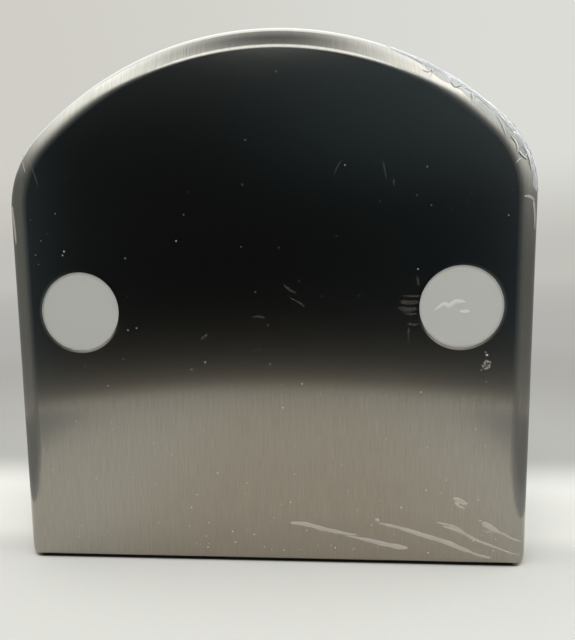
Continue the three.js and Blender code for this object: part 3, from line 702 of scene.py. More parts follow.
def hex_nut(name, node, axis, bore):
    """A hexagon nut with chamfered corners, in the place of a node."""
    low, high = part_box(node)
    along = Vector(axis)
    sixth = math.pi / 6
    end = (high - low).dot(along) / 2
    corner = max((high - low) - along * 2 * end) / 2
    flat = corner * math.cos(sixth)
    turn = 0 if (high - low).z / 2 > corner * 0.97 else sixth
    shoulder = end - 0.5 * (corner - flat)
    face = flat * 0.96
    first, second = across(axis)
    rings = []
    plan = ((bore, -end), (face, -end), (corner, -shoulder), (corner, shoulder), (face, end), (bore, end))
    for limit, far in plan:
        centre = (low + high) / 2 + along * far
        ring = []
        for angle in turns(60):
            radius = min(limit, flat / math.cos((angle + sixth + turn) % (2 * sixth) - sixth))
            ring.append(centre + radius * (math.cos(angle) * first + math.sin(angle) * second))
        rings.append(ring)
    return smooth(grow(name, rings, hoop=True))


class DISPENSER_OT_hinge(bpy.types.Operator):
    """Build the side hinge: two leaves with rolled knuckles and the pin through them"""

    bl_idname = "dispenser.hinge"
    bl_label = "Hinge"

    def execute(self, context):
        pin_low, pin_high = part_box("hinge_pin")
        axis_x, axis_y = (pin_low.x + pin_high.x) / 2, (pin_low.y + pin_high.y) / 2
        knuckle, bore, count, pitch, gap, soft = 2.5 * MM, 1.5 * MM, 9, 19 * MM, 0.4 * MM, 0.25 * MM
        leaf_low, leaf_high, leaf_width, leaf_sheet = 20 * MM, 191 * MM, 14 * MM, 1.2 * MM
        leaf_break, tab_start, tab_overlap = 0.35 * MM, 0.6 * MM, 0.5 * MM
        inner, outer = axis_x + knuckle - leaf_sheet, axis_x + knuckle
        for word, side, first in (("door", -1, 1), ("housing", 1, 0)):
            near = axis_y + side * (knuckle + gap)
            plate_low = min(near, near + side * leaf_width)
            plate = box_piece("plate", (inner, plate_low, leaf_low),
                              (outer, plate_low + leaf_width, leaf_high))
            break_edges(plate, leaf_break, segments=3)
            start = leaf_low + first * pitch + gap / 2
            end = start + pitch - gap
            profile = [
                (bore, start), (knuckle - soft, start), (knuckle, start + soft),
                (knuckle, end - soft), (knuckle - soft, end), (bore, end),
            ]
            tube = turned("knuckle", profile, (0, 0, 1), (axis_x, axis_y, 0), hoop=True)
            tab_low, tab_high = sorted((axis_y + side * tab_start, near + side * tab_overlap))
            tab = box_piece("tab", (inner, tab_low, start), (outer, tab_high, end))
            one = join_pieces("knuckle", [tube, tab])
            more = [duplicate(one, "knuckle", (0, 0, (number - first) * pitch))
                    for number in range(first + 2, count, 2)]
            leaf = join_pieces(f"hinge_{word}_leaf", [plate, one] + more)
            dress(leaf, "brushed_stainless", word, f"hinge_leaf_{word}")
            add_side_map(leaf)
        soft, head, head_height, radius = 0.3 * MM, 2.2 * MM, 1 * MM, 1.2 * MM
        below = [(head - soft, 0), (head, soft), (head, head_height), (radius, head_height)]
        profile = [(wide, pin_low.z + far) for wide, far in below]
        profile += [(wide, pin_high.z - far) for wide, far in reversed(below)]
        pin = turned("hinge_rod", profile, (0, 0, 1), (axis_x, axis_y, 0))
        dress(pin, "mill_stainless", "housing", "hinge_pin")
        return {"FINISHED"}


def add_side_map(piece):
    """Gives a piece on the side wall the map called flat, from its depth and height."""
    layer = piece.data.uv_layers.new(name="flat")
    for loop in piece.data.loops:
        place = piece.data.vertices[loop.vertex_index].co
        layer.data[loop.index].uv = (place.y - place.x, place.z)


# Each rivet's node, its body and the way that its dome faces
RIVETS = (
    [(f"hinge_rivet_{word}_{n}", word, (-1, 0, 0)) for word in ("door", "housing") for n in (1, 2, 3, 4)]
    + [(f"tray_rivet_left_{n}", "housing", (-1, 0, 0)) for n in (1, 2)]
    + [(f"{part}_{n}", "housing", (1, 0, 0)) for part in ("tray_rivet_right", "strike_rivet") for n in (1, 2)]
    + [(f"{part}_{side}", "housing", (0, 1, 0))
       for part in ("tray_rivet_back", "rail_rivet", "guide_rivet", "divider_rivet")
       for side in ("left", "right")]
)


class DISPENSER_OT_rivets(bpy.types.Operator):
    """Set the domed rivets of the hinge, the tray, the strike and the back wall"""

    bl_idname = "dispenser.rivets"
    bl_label = "Rivets"

    def execute(self, context):
        kinds = {}
        wide_tail, plain_tail, long_span = 2.4 * MM, 1.4 * MM, 4.5 * MM
        for node, body, out in RIVETS:
            low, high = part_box(node)
            along = Vector(out)
            span = abs((high - low).dot(along))
            kind = (round(span / MM, 2), along.x != 0)
            if kind not in kinds:
                kinds[kind] = self.rivet(span, wide_tail if span > long_span and along.x else plain_tail)
            turn = Vector((1, 0, 0)).rotation_difference(along).to_matrix().to_4x4()
            copy = duplicate(kinds[kind], f"{node}_set", (low + high) / 2, turn)
            dress(copy, "zinc_plate", body, node)
        for rivet in kinds.values():
            bpy.data.objects.remove(rivet)
        return {"FINISHED"}

    def rivet(self, span, tail):
        """One rivet about the origin, with its dome toward +X."""
        head, height, shank = 3 * MM, 1.4 * MM, 1.4 * MM
        half = span / 2
        under = half - height - 0.05 * MM
        # The dome, its underside, the shank, and the tail that was set against the sheet
        profile = [(head * sine, half - height * (1 - cosine)) for sine, cosine in quarter(7)[1:]]
        profile += [
            (head * 0.97, under), (shank, under), (shank, -half + 0.9 * MM), (tail * 0.98, -half + 0.85 * MM),
            (tail, -half + 0.4 * MM), (tail * 0.85, -half),
        ]
        return turned("rivet", profile, (1, 0, 0), steps=28)


class DISPENSER_OT_lock(bpy.types.Operator):
    """Fit the cam lock and its strike"""

    bl_idname = "dispenser.lock"
    bl_label = "Lock"

    def execute(self, context):
        low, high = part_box("lock_barrel")
        plug_low, plug_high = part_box("lock_plug")
        at = (plug_low + plug_high) / 2
        at.x = 0
        head, barrel, bore, soft = 11 * MM, 9 * MM, 6.3 * MM, 2 * MM
        chamfer, barrel_chamfer, head_chamfer, key_depth = 0.3 * MM, 0.5 * MM, 0.2 * MM, 3 * MM
        under = HALF_WIDTH + 0.3 * MM
        profile = [(bore, low.x), (barrel - barrel_chamfer, low.x), (barrel, low.x + barrel_chamfer),
                   (barrel, under), (head - head_chamfer, under), (head, under + head_chamfer)]
        profile += [(head - soft * (1 - cosine), high.x - soft * (1 - sine)) for sine, cosine in quarter(6)]
        profile += [(bore + chamfer, high.x), (bore, high.x - chamfer)]
        piece = turned("lock_body", profile, (1, 0, 0), at, steps=72, hoop=True)
        dress(piece, "chrome_plate", "door", "lock_barrel")

        face, radius = plug_high.x, 6 * MM
        profile = [(radius, low.x), (radius, face - chamfer), (radius - chamfer, face)]
        plug = turned("lock_core", profile, (1, 0, 0), at, steps=64)
        key_slot, square = Vector((0, 0.7 * MM, 3.5 * MM)), Vector((0, 3.5 * MM, 3.5 * MM))
        subtract(plug, box_piece("cutter", at - key_slot + Vector((face - key_depth, 0, 0)),
                                 at + key_slot + Vector((face + 1 * MM, 0, 0))))
        shaft = box_piece("shaft", at - square + Vector((plug_low.x, 0, 0)),
                          at + square + Vector((low.x + 1 * MM, 0, 0)))
        plug = smooth(join_pieces("lock_core", [plug, shaft]))
        dress(plug, "chrome_plate", "lock", "lock_plug")

        dress(hex_nut("lock_back_nut", "lock_nut", (1, 0, 0), 9.2 * MM), "zinc_plate", "door", "lock_nut")
        dress_solid("lock_cam", "lock_tongue", "zinc_plate", "lock")
        dress_solid("cam_screw", "cam_fixing", "zinc_plate", "lock", 0.1 * MM)
        dress_solid("lock_strike", "lock_keeper", "zinc_plate", "housing")
        return {"FINISHED"}


def stadium(centre, span, width, z, steps=28):
    """A loop with round ends, level at a height."""
    radius = width / 2
    reach = span / 2 - radius
    points = []
    for end in (1, -1):
        for i in range(steps + 1):
            angle = -math.pi / 2 + math.pi * i / steps + (0 if end > 0 else math.pi)
            points.append((centre.x + end * reach + radius * math.cos(angle),
                           centre.y + radius * math.sin(angle), z))
    return points


def dress_pair(left, name, finish, node, left_body, right_body):
    """Copies a left piece to the right, and dresses both."""
    right = duplicate(left, f"{name}_right", middle(f"{node}_right") - middle(f"{node}_left"))
    dress(left, finish, left_body, f"{node}_left")
    dress(right, finish, right_body, f"{node}_right")


class DISPENSER_OT_tray(bpy.types.Operator):
    """Fold the tray, and mould the liners of its two throats"""

    bl_idname = "dispenser.tray"
    bl_label = "Tray"

    def execute(self, context):
        dress_solid("base_tray", "napkin_tray", "mill_stainless", "housing")
        low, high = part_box("throat_insert_left")
        span, width, wall, collar, lift, soft = (value * MM for value in (95.4, 33.4, 2.7, 6.3, 1.2, 0.5))
        under = high.z - lift
        # The rounds inside the throat, at its top and its foot, each with the place of its middle
        top_round, top_middle = 1.4 * MM, 0.4 * MM
        foot_round, foot_in, foot_up = 1.0 * MM, 0.4 * MM, 0.3 * MM
        plan = [
            (0, low.z + soft), (0, under), (collar, under), (collar, high.z - soft), (collar - soft, high.z),
            (top_round - wall, high.z), (top_middle - wall, high.z - top_middle), (-wall, high.z - top_round),
            (-wall, low.z + foot_round), (foot_in - wall, low.z + foot_up), (foot_round - wall, low.z),
            (-soft, low.z),
        ]
        rings = [stadium((low + high) / 2, span + 2 * out, width + 2 * out, z) for out, z in plan]
        piece = smooth(grow("throat_liner_left", rings, hoop=True))
        dress_pair(piece, "throat_liner", "black_plastic", "throat_insert", "housing", "housing")
        return {"FINISHED"}


class DISPENSER_OT_bays(bpy.types.Operator):
    """Fit the divider, the side guides, the rail and the two rods"""

    bl_idname = "dispenser.bays"
    bl_label = "Bays"

    def execute(self, context):
        dress_solid("centre_divider", "bay_divider", "mill_stainless", "housing")
        dress_solid("rod_rail", "rod_angle", "zinc_plate", "housing")
        for word in ("left", "right"):
            dress_solid(f"side_guide_{word}", f"bay_guide_{word}", "mill_stainless", "housing")
        low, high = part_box("guide_rod_left")
        head, radius, height, soft = 3.5 * MM, 2 * MM, 2 * MM, 0.4 * MM
        profile = [
            (radius - soft, low.z), (radius, low.z + soft), (radius, high.z - height),
            (head, high.z - height), (head, high.z - soft), (head - soft, high.z),
        ]
        centre = (low + high) / 2
        rod = turned("weight_rod_left", profile, (0, 0, 1), (centre.x, centre.y, 0), steps=32)
        dress_pair(rod, "weight_rod", "chrome_plate", "guide_rod", "housing", "housing")
        return {"FINISHED"}


class DISPENSER_OT_followers(bpy.types.Operator):
    """Press the two weights that ride down on the napkins, and mould their bushes"""

    bl_idname = "dispenser.followers"
    bl_label = "Followers"

    def execute(self, context):
        plate = refined("follower_plate_left", "weight_left", 0.4 * MM)
        dress_pair(plate, "weight", "zinc_plate", "follower_plate", "follower_left", "follower_right")
        low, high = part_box("follower_bush_left")
        flange, radius, bore, soft = 5.5 * MM, 4 * MM, 2.3 * MM, 0.4 * MM
        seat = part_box("follower_plate_left")[0].z - 0.3 * MM
        profile = [
            (bore, low.z), (flange - soft, low.z), (flange, low.z + soft), (flange, seat - soft),
            (flange - soft, seat), (radius, seat), (radius, high.z - soft), (radius - soft, high.z),
            (bore, high.z),
        ]
        centre = (low + high) / 2
        bush = turned("weight_bush_left", profile, (0, 0, 1), (centre.x, centre.y, 0), hoop=True)
        dress_pair(bush, "weight_bush", "white_plastic", "follower_bush", "follower_left", "follower_right")
        return {"FINISHED"}


# The protective film, where it has lifted, folded or blistered

def front_depth(x, z, grown=0.0):
    """How far the rim falls back behind the flat face at a place seen from in front.

    The front may be taken as grown by so much along its normals.
    """
    s = sizes()
    side_top = TOP_Z - s.arch_rise
    shoulder_x = HALF_WIDTH - s.shoulder_radius
    crown_radius, crown_z = crown_circle()
    join_angle = math.atan2(side_top - crown_z, shoulder_x)
    if z < side_top:
        inset = HALF_WIDTH - abs(x)
    elif math.atan2(z - crown_z, abs(x)) > join_angle:
        inset = crown_radius - math.hypot(x, z - crown_z)
    else:
        inset = s.shoulder_radius - math.hypot(abs(x) - shoulder_x, z - side_top)

    def fall(width, depth, inset):
        over = min(max(1 - (inset + grown) / (width + grown), 0), 1)
        return (depth + grown) * (1 - math.sqrt(1 - over * over)) - grown

    low = fall(s.bottom_bend, s.bottom_bend, z - DOOR_LOW.z)
    return max(fall(s.rim_width, s.rim_depth, inset), low)


def smooth_route(points, steps):
    """Points on one smooth curve through the chosen ones."""
    route = [Vector(p) for p in points]
    ends = [2 * route[0] - route[1]] + route + [2 * route[-1] - route[-2]]
    result = []
    for i in range(1, len(ends) - 2):
        a, b, c, d = ends[i - 1:i + 3]
        for step in range(steps):
            t = step / steps
            result.append(0.5 * ((2 * b) + (c - a) * t + (2 * a - 5 * b + 4 * c - d) * t ** 2
                                 + (3 * b - a - 3 * c + d) * t ** 3))
    result.append(route[-1])
    return result


def fold(points, width, peak, seed, lift=0.0):
    """A fold of film that lies on the front: a thin ribbon along a route, in millimetres.

    It is widest at a share of its length, and the seed tells one fold's uneven edges from another's.
    """
    thick = film_sizes().thickness
    tip, body, unevenness, waves = 0.06, 0.44, 0.3, 180
    route = [p * MM for p in smooth_route(points, 7)]
    rings = []
    total = len(route) - 1
    for i, at in enumerate(route):
        ahead = (route[min(i + 1, total)] - route[max(i - 1, 0)]).normalized()
        side = Vector((-ahead.y, ahead.x))
        share = i / total
        swell = math.sin(math.pi * share ** (math.log(0.5) / math.log(peak))) ** 0.42 if 0 < share < 1 else 0
        uneven = 1 + unevenness * noise.noise(Vector((at.x * waves, at.y * waves, seed)))
        half = (tip + body * swell) * width * MM * uneven
        ring = []
        for angle in turns(8):
            place = at + side * half * math.cos(angle)
            proud = thick * (0.6 + 0.5 * math.sin(angle))
            ring.append((place.x, FRONT_Y + front_depth(place.x, place.y, lift * MM) - proud, place.y))
        rings.append(ring)
    return smooth(grow("fold", rings), 80)


def folds(routes, first=0, lift=0.0):
    """Folds of film from a list of routes."""
    return [fold(*route, seed, lift) for seed, route in enumerate(routes, first)]


def blister(x, z, width):
    """A small round blister on the front, its place and width in millimetres."""
    rings = []
    rise = 0.01 * MM
    for radius, proud in ((0.5, 0.0), (0.42, 0.12), (0.2, 0.2)):
        ring = []
        for angle in turns(10):
            px = x * MM + radius * width * MM * math.cos(angle)
            pz = z * MM + radius * width * MM * math.sin(angle)
            ring.append((px, FRONT_Y + front_depth(px, pz) - proud * width * MM - rise, pz))
        rings.append(ring)
    return smooth(grow("blister", rings), 80)


# Long folds near the lower right corner, each as route, width and where it is widest
LOW_FOLDS = (
    (((12.5, 25.2), (22, 24.3), (32, 21.6), (42, 19.6), (51.6, 18.1)), 2.6, 0.25),
    (((45.1, 17.6), (57, 15.4), (70.7, 12.3), (81, 10.6)), 2.9, 0.72),
    (((64.1, 25.9), (77, 22.8), (90.7, 18.5), (103.5, 14.6), (110.4, 11.5), (117.3, 9)), 3.0, 0.6),
    (((115, 9.7), (121, 7.4), (128.5, 5.6)), 1.7, 0.6),
    (((96.6, 26.9), (106.2, 24.7), (113.1, 21)), 1.6, 0.55),
    (((100.4, 24.6), (107.5, 22.6), (114.5, 19.4), (120, 16.4), (132.7, 11.5), (145.9, 6.5)), 1.7, 0.3),
    (((122.6, 27.4), (127, 24.6), (132.2, 21.2)), 3.5, 0.5),
    (((130.5, 22), (135, 20.4), (139.2, 17.9), (146.5, 14.7)), 1.5, 0.3),
    (((123.5, 22.6), (125.6, 21.5), (128.2, 21.6)), 0.7, 0.5),
)
# A crumpled patch above them
CRUMPLE = (
    (((106.2, 41.9), (108.4, 40.6), (110.2, 38.2)), 1.9, 0.4),
    (((107.6, 42.0), (110.2, 40.2), (112.2, 37.4)), 2.1, 0.5),
    (((107.0, 39.4), (109.2, 37.4), (111.8, 36.0)), 2.0, 0.5),
    (((109.8, 41.4), (112.2, 39.6), (113.9, 37.0)), 1.3, 0.6),
    (((108.8, 36.8), (111.2, 35.6), (113.8, 35.9)), 1.2, 0.4),
    (((113.2, 38.9), (114.4, 38.4)), 0.9, 0.5),
)
# Blisters near the lower edge and on the face, each as its place and width
LOW_BLISTERS = (
    (60, 24.5, 1.0), (63.2, 27.6, 2.6), (51.5, 33.3, 1.1), (49.6, 9.1, 1.2), (28, 29.9, 0.8),
    (28.7, 11.1, 0.8), (8.8, 7.7, 1.1), (63.6, 11.1, 0.8), (126, 37.2, 0.9), (121.5, 28.1, 1.4),
    (122.8, 19.2, 0.8), (131.2, 16.9, 0.7), (113.2, 38.8, 1.2),
)
FACE_BLISTERS = (
    (-116.1, 187, 1.1), (-117.1, 184.8, 0.9), (-120.1, 208.5, 0.6), (-129.5, 193.4, 0.6),
    (-133.1, 185.4, 0.6), (-50.3, 191.5, 0.9), (-9.9, 245.6, 0.6), (44.5, 230.3, 0.7), (84.4, 173.1, 0.8),
    (-84, 124, 0.6),
)
# Smudges on the right pane
PANE_SMUDGES = (
    (((93.8, 150.1), (98.8, 153.7), (101.5, 152.4), (105, 154.8), (110.3, 154.6)), 2.6, 0.6),
    (((107.4, 149.2), (112.8, 149.3)), 2.2, 0.5),
)
# Scuffs in the film, most of them beside the right window
SCUFFS = (
    (((76.5, 158.6), (82, 158.2), (86.2, 158.1)), 1.3, 0.6),
    (((75, 155.3), (80, 154.6), (85.2, 154.9)), 2.6, 0.5),
    (((74, 151.8), (79, 150.8), (84.5, 151.1)), 2.6, 0.5),
    (((77, 148.9), (81, 148.2), (84, 148.4)), 1.2, 0.5),
    (((79, 142.8), (82.5, 142.3), (85.4, 142.6)), 1.4, 0.4),
    (((80, 140.4), (79.6, 136), (80.1, 131.4)), 0.9, 0.2),
    (((83.6, 169.2), (84.6, 166.2), (84.4, 164)), 1.2, 0.6),
    (((-8, 147.4), (-4.5, 148), (-0.5, 147)), 1.2, 0.5),
    (((-38, 135), (-35.9, 136.4), (-33.6, 138.2)), 1.9, 0.5),
    (((64.8, 232.4), (65.8, 227.6), (66.8, 222.4)), 0.8, 0.5),
    (((10, 166), (14, 162.5), (17.5, 161)), 1.3, 0.5),
    (((13.5, 158.5), (19, 155.5), (22, 153)), 1.1, 0.5),
    (((-134.4, 241.5), (-131.6, 233), (-129, 224)), 0.9, 0.4),
    (((43, 233.2), (40.6, 230), (38.4, 225)), 0.7, 0.5),
    (((70.6, 222.2), (70.9, 218.4)), 0.8, 0.5),
)
# Creases of the lifted film on the right shoulder, soft ones higher up and white ones below; their pale
# colour is partly the film's whitening and partly a painted highlight for the glints along them
SOFT_CREASES_AND_GLINTS = (
    (((85.4, 278.9), (88.6, 277.8), (91.2, 279.4)), 0.7, 0.5),
    (((90.4, 279.6), (91, 277.6), (89.4, 274.8)), 0.6, 0.4),
    (((100.8, 273.2), (102.6, 269.6), (107.2, 270.6)), 0.7, 0.5),
    (((108.4, 268.9), (114.9, 267.3), (121.7, 261.8), (124.8, 257.6)), 0.7, 0.4),
    (((109.4, 259.6), (111.9, 262.3), (111.4, 266.2)), 0.7, 0.5),
    (((112.8, 266), (119, 260.6), (122.6, 256.8)), 0.5, 0.6),
    (((125.2, 256.4), (129.4, 251), (133.6, 245.4)), 0.6, 0.6),
    (((124.4, 255.6), (127.6, 248.4), (129.6, 242.4)), 0.5, 0.5),
)
CREASES_AND_GLINTS = (
    (((132.2, 243), (135.4, 238.4), (135.8, 233.6)), 0.7, 0.5),
    (((136.4, 235), (138.6, 232.4), (141.2, 230.4)), 0.8, 0.4),
    (((134.7, 228.3), (136, 230), (137.4, 230.9)), 0.5, 0.6),
    (((139.6, 238.4), (142.4, 232.4), (144.2, 225.2)), 0.7, 0.4),
)
# Marks on the rims, where the lifted film ends; their pale film is partly the film's end and partly a painted
# highlight on the rims
RIM_MARKS_AND_HIGHLIGHTS = (
    (((139.8, 211), (142.8, 210.8), (146.2, 209)), 1.5, 0.6),
    (((145.4, 209.2), (146.7, 202), (147.3, 193)), 1.3, 0.2),
    (((-147.4, 214), (-146.8, 207), (-146, 200), (-145.6, 191.5)), 2.4, 0.15),
    (((-141.9, 243.8), (-140.9, 240.4), (-141.8, 236.2)), 1.2, 0.4),
    (((-138.6, 239), (-136.4, 232)), 0.6, 0.4),
)


class DISPENSER_OT_film(bpy.types.Operator):
    """Lay the protective film's folds, scuffs and blisters on the front"""

    bl_idname = "dispenser.film"
    bl_label = "Film"

    def execute(self, context):
        ridges = [([(x, z + 0.2 * width) for x, z in route], 0.3 * width, peak)
                  for route, width, peak in LOW_FOLDS]
        for name, finish, parts in (
            ("film_low_folds", "folded_film", folds(LOW_FOLDS) + folds(CRUMPLE)),
            ("film_low_ridges", "folded_film", folds(ridges, 50)),
            ("film_low_blisters", "folded_film", [blister(*dot) for dot in LOW_BLISTERS]),
            ("film_blisters", "folded_film", [blister(*dot) for dot in FACE_BLISTERS]),
            # The shoulder's creases are partly a painted highlight for their glints
            ("film_soft_creases_and_glints", "folded_film", folds(SOFT_CREASES_AND_GLINTS, 60, 0.4)),
            ("film_creases_and_glints", "creased_film", folds(CREASES_AND_GLINTS, 80, 0.4)),
            # The rim marks are partly a painted highlight on the rims
            ("film_rim_marks_and_highlights", "folded_film", folds(RIM_MARKS_AND_HIGHLIGHTS, 70)),
            ("film_scuffs", "scuffed_film", folds(SCUFFS)),
            ("film_pressed_ring", "folded_film", self.pressed_ring()),
            ("pane_smudges", "creased_film", folds(PANE_SMUDGES)),
            ("film_dust", "creased_film", self.dust()),
        ):
            dress(join_pieces(name, parts), finish, "door")
        bpy.data.objects["pane_smudges"].data.transform(Matrix.Translation((0, PANE_FRONT - FRONT_Y, 0)))
        for word, side in (("left", -1), ("right", 1)):
            self.window_edge(word, side)
        self.lifted()
        return {"FINISHED"}

    def pressed_ring(self):
        """A crumpled patch pressed into the film under the right window."""
        centre_x, centre_z = 122.7, 119.4
        pieces = []
        for i, angle in enumerate(turns(17)):
            spread = 0.5 + 0.3 * (i % 3)
            start, end = 0.8 + 2.3 * (i * 5 % 7) / 7, 0.5 + 2.3 * (i * 3 % 5) / 5
            points = [(centre_x + reach * math.cos(a), centre_z + reach * math.sin(a))
                      for reach, a in ((start, angle), ((start + end) / 2 + 0.2, angle + spread / 2),
                                       (end, angle + spread))]
            pieces.append(fold(points, 0.35 + 0.2 * (i % 2), 0.5, 20 + i))
        return pieces + [blister(122.7, 124.8, 1.4), blister(121.9, 126.4, 0.7)]

    def dust(self):
        """Fine dust caught under the film, scattered by chance."""
        chance = random.Random(7)
        count, speck_z, window_reach = 130, 150, 28
        reach_x, low, high = HALF_WIDTH / MM - 14, 8, TOP_Z / MM - 16
        speck = blister(0, speck_z, 1)
        speck.data.transform(Matrix.Translation((0, -FRONT_Y, -speck_z * MM)))
        dots = []
        while len(dots) < count:
            x, z = chance.uniform(-reach_x, reach_x), low + (high - low) * chance.random() ** 1.6
            width = (0.26 + 0.42 * chance.random() ** 3) * (1.3 - 0.7 * z / high)
            in_window = math.hypot(abs(x) - WINDOW_X / MM, z - WINDOW_Z / MM) < window_reach
            if front_depth(x * MM, z * MM) > 0 or in_window:
                continue
            shape = Matrix.Diagonal((width * (1 + 0.8 * chance.random()), width, width, 1))
            turn = Matrix.Rotation(chance.uniform(0, 3), 4, "Y") @ shape
            dots.append(duplicate(speck, "speck", (x * MM, FRONT_Y, z * MM), turn))
        bpy.data.objects.remove(speck)
        return dots

    def window_edge(self, word, side):
        """The film's cut edge, which stands up round a window."""
        radius = sizes().window_radius - 0.1 * MM
        wide, deep, back = 0.24 * MM, 0.2 * MM, 0.05 * MM
        profile = [(radius + wide * math.cos(a), FRONT_Y + back + deep * math.sin(a)) for a in turns(8)]
        ring = turned(f"film_edge_{word}", profile, (0, 1, 0), (side * WINDOW_X, 0, WINDOW_Z), 120,
                      hoop=True, angle=80)
        dress(ring, "creased_film", "door")

    def lifted(self):
        """Film that has come away from the rim along the right shoulder, in ripples."""
        s, f = sizes(), film_sizes()
        thin = 0.05 * MM
        start, end, across_steps = 0.02, 0.97, 18
        # Angles on the rim, from the face round to the side, between which the film stands off
        lift_angle, wander, shut, last_angle = 22, 14, 67, 100
        foot = TOP_Z - s.arch_rise - 10 * MM
        outline = [p for p in arch_outline(DOOR_LOW.z) if p.z > foot and p.x > 60 * MM]
        rings = []
        for i, p in enumerate(outline):
            run = (i / (len(outline) - 1) - start) / (end - start)
            if not 0 <= run <= 1:
                continue
            swell = math.sin(math.pi * run) ** 0.4 if 0 < run < 1 else 0
            first_angle = lift_angle + wander * noise.noise(Vector((i * 0.21, 1, 2.5)))
            first_angle += shut * (1 - swell ** 0.7)
            top, under = [], []
            for k in range(across_steps + 1):
                angle = math.radians(first_angle + (last_angle - first_angle) * k / across_steps)
                wave = noise.noise(Vector((i * 0.55, k * 0.32, 3.1)))
                crease = abs(noise.noise(Vector((i * 1.1, k * 0.7 + i * 0.4, 7.7))))
                lift = (f.stand_off + f.ripple * (0.4 + wave - 0.8 * crease)) * swell
                proud = max(lift * math.sin(math.pi * k / across_steps * 0.62), thin)
                for shell, extra in ((top, thin), (under, 0)):
                    drawn = s.rim_width - (s.rim_width + proud + extra) * math.sin(angle)
                    y = FRONT_Y + s.rim_depth - (s.rim_depth + proud + extra) * math.cos(angle)
                    shell.append((p.x - p.nx * drawn, y, p.z - p.nz * drawn))
            rings.append(top + under[::-1])
        dress(smooth(grow("film_shoulder_right", rings), 60), "clear_film", "door")


# Materials

def add_node(tree, kind, inputs=(), **settings):
    """Adds a node with its settings, and gives its outputs.

    Its inputs, in order or by key, are values or the outputs that feed it.
    """
    node = tree.nodes.new("ShaderNode" + kind)
    for key, value in settings.items():
        setattr(node, key, value)
    for key, value in inputs.items() if isinstance(inputs, dict) else enumerate(inputs):
        if isinstance(value, bpy.types.NodeSocket):
            tree.links.new(value, node.inputs[key])
        else:
            node.inputs[key].default_value = value
    return node.outputs


def new_material(name, **constants):
    """A material with one Principled shader, whose constant inputs are given by name."""
    material = bpy.data.materials.new(name)
    material.use_nodes = True
    tree = material.node_tree
    shader = tree.nodes["Principled BSDF"]
    for key, value in constants.items():
        shader.inputs[key.replace("_", " ")].default_value = value
    return material, tree, shader


def feed(tree, shader, **outputs):
    """Links outputs to the shader's inputs, given by name."""
    for key, output in outputs.items():
        tree.links.new(output, shader.inputs[key.replace("_", " ")])


def tone_of(name):
    """One of the chosen colours, made linear."""
    return linear(getattr(bpy.context.scene.dispenser_colours, name))


def brushed_stainless():
    """Austenitic stainless sheet, belt brushed up and down under its film.

    The eye sees fine upright lines, a highlight that spreads sideways, and a slightly warm grey.
    The real lines lie about 0.05 mm apart; they are drawn coarser, so that they show.
    """
    material, tree, shader = new_material("brushed_stainless_steel", Metallic=1.0, Anisotropic=0.8)
    uv = add_node(tree, "UVMap", uv_map="flat")[0]
    lines = []
    for wide, tall, detail, rough in ((0.45 * MM, 13 * MM, 3, 0.65), (1.6 * MM, 60 * MM, 4, 0.55)):
        place = add_node(tree, "Mapping", {"Vector": uv, "Scale": (1 / wide, 1 / tall, 1)})[0]
        settings = {"Vector": place, "Scale": 1, "Detail": detail, "Roughness": rough}
        lines.append(add_node(tree, "TexNoise", settings, noise_dimensions="2D")[0])
    fine, band = lines
    both = add_node(tree, "Math", (band, 0.3, fine), operation="MULTIPLY_ADD")[0]
    streak = add_node(tree, "MapRange", (both, 0.4, 0.9, 0, 1))[0]
    tones = {0: streak, 6: tone_of("steel"), 7: tone_of("steel_streak")}
    feed(tree, shader,
         Base_Color=add_node(tree, "Mix", tones, data_type="RGBA")[2],
         Roughness=add_node(tree, "MapRange", (both, 0.4, 0.9, 0.158, 0.172))[0],
         Tangent=add_node(tree, "Tangent", direction_type="UV_MAP", uv_map="flat")[0],
         Normal=add_node(tree, "Bump", {"Strength": 0.25, "Distance": 0.0025 * MM, "Height": fine})[0])
    return material


def textured(name, tones, noises, gloss_follows, gloss, bump, **constants):
    """A finish with soft clouds in its colour and a fine relief.

    The two noises, of the clouds and of the relief, each have a size, a detail and a roughness.
    The gloss follows the one that gloss_follows numbers.
    """
    material, tree, shader = new_material(name, Base_Color=tones[0], **constants)
    place = add_node(tree, "TexCoord")["Object"]
    made = []
    for size, detail, rough in noises:
        settings = {"Vector": place, "Scale": 1 / size, "Detail": detail, "Roughness": rough}
        made.append(add_node(tree, "TexNoise", settings)[0])
    if tones[0] != tones[1]:
        mixed = add_node(tree, "Mix", {0: made[0], 6: tones[0], 7: tones[1]}, data_type="RGBA")[2]
        feed(tree, shader, Base_Color=mixed)
    strength, distance = bump
    feed(tree, shader,
         Roughness=add_node(tree, "MapRange", (made[gloss_follows], 0.3, 0.7, *gloss))[0],
         Normal=add_node(tree, "Bump", {"Strength": strength, "Distance": distance, "Height": made[1]})[0])
    return material


def mottled_metal(name, light, dark, grain, gloss, depth):
    """A metal with soft clouds in its colour and gloss, as rolling or plating leaves them."""
    return textured(name, (tone_of(light), tone_of(dark)), ((grain * MM, 4, 0.6), (0.4 * MM, 2, 0.5)),
                    0, gloss, (0.4, depth * MM), Metallic=1.0)


def moulded(name, tone, shade, gloss, grain, depth, **constants):
    """A moulded or cast plastic with the fine texture of its tool."""
    base = tone_of(tone)
    darker = (*(value * shade for value in base[:3]), 1.0)
    return textured(name, (base, darker), ((25 * MM, 3, 0.5), (grain * MM, 2, 0.55)),
                    1, gloss, (0.5, depth * MM), IOR=1.49, **constants)


def film(name, tone, cover):
    """Polyethylene protective film, blown: where it leaves the steel it looks milky and a little glossy."""
    return moulded(name, tone, 0.9, (0.28, 0.4), 0.9, 0.09, Alpha=cover)


def clear_film():
    """The film alone, lifted off the steel: clear, with a glossy face that mirrors at a low angle."""
    return new_material("clear_polyethylene_film", Base_Color=tone_of("clear_film"), Roughness=0.07, IOR=1.5,
                        Transmission_Weight=1.0, Specular_IOR_Level=0.2)[0]


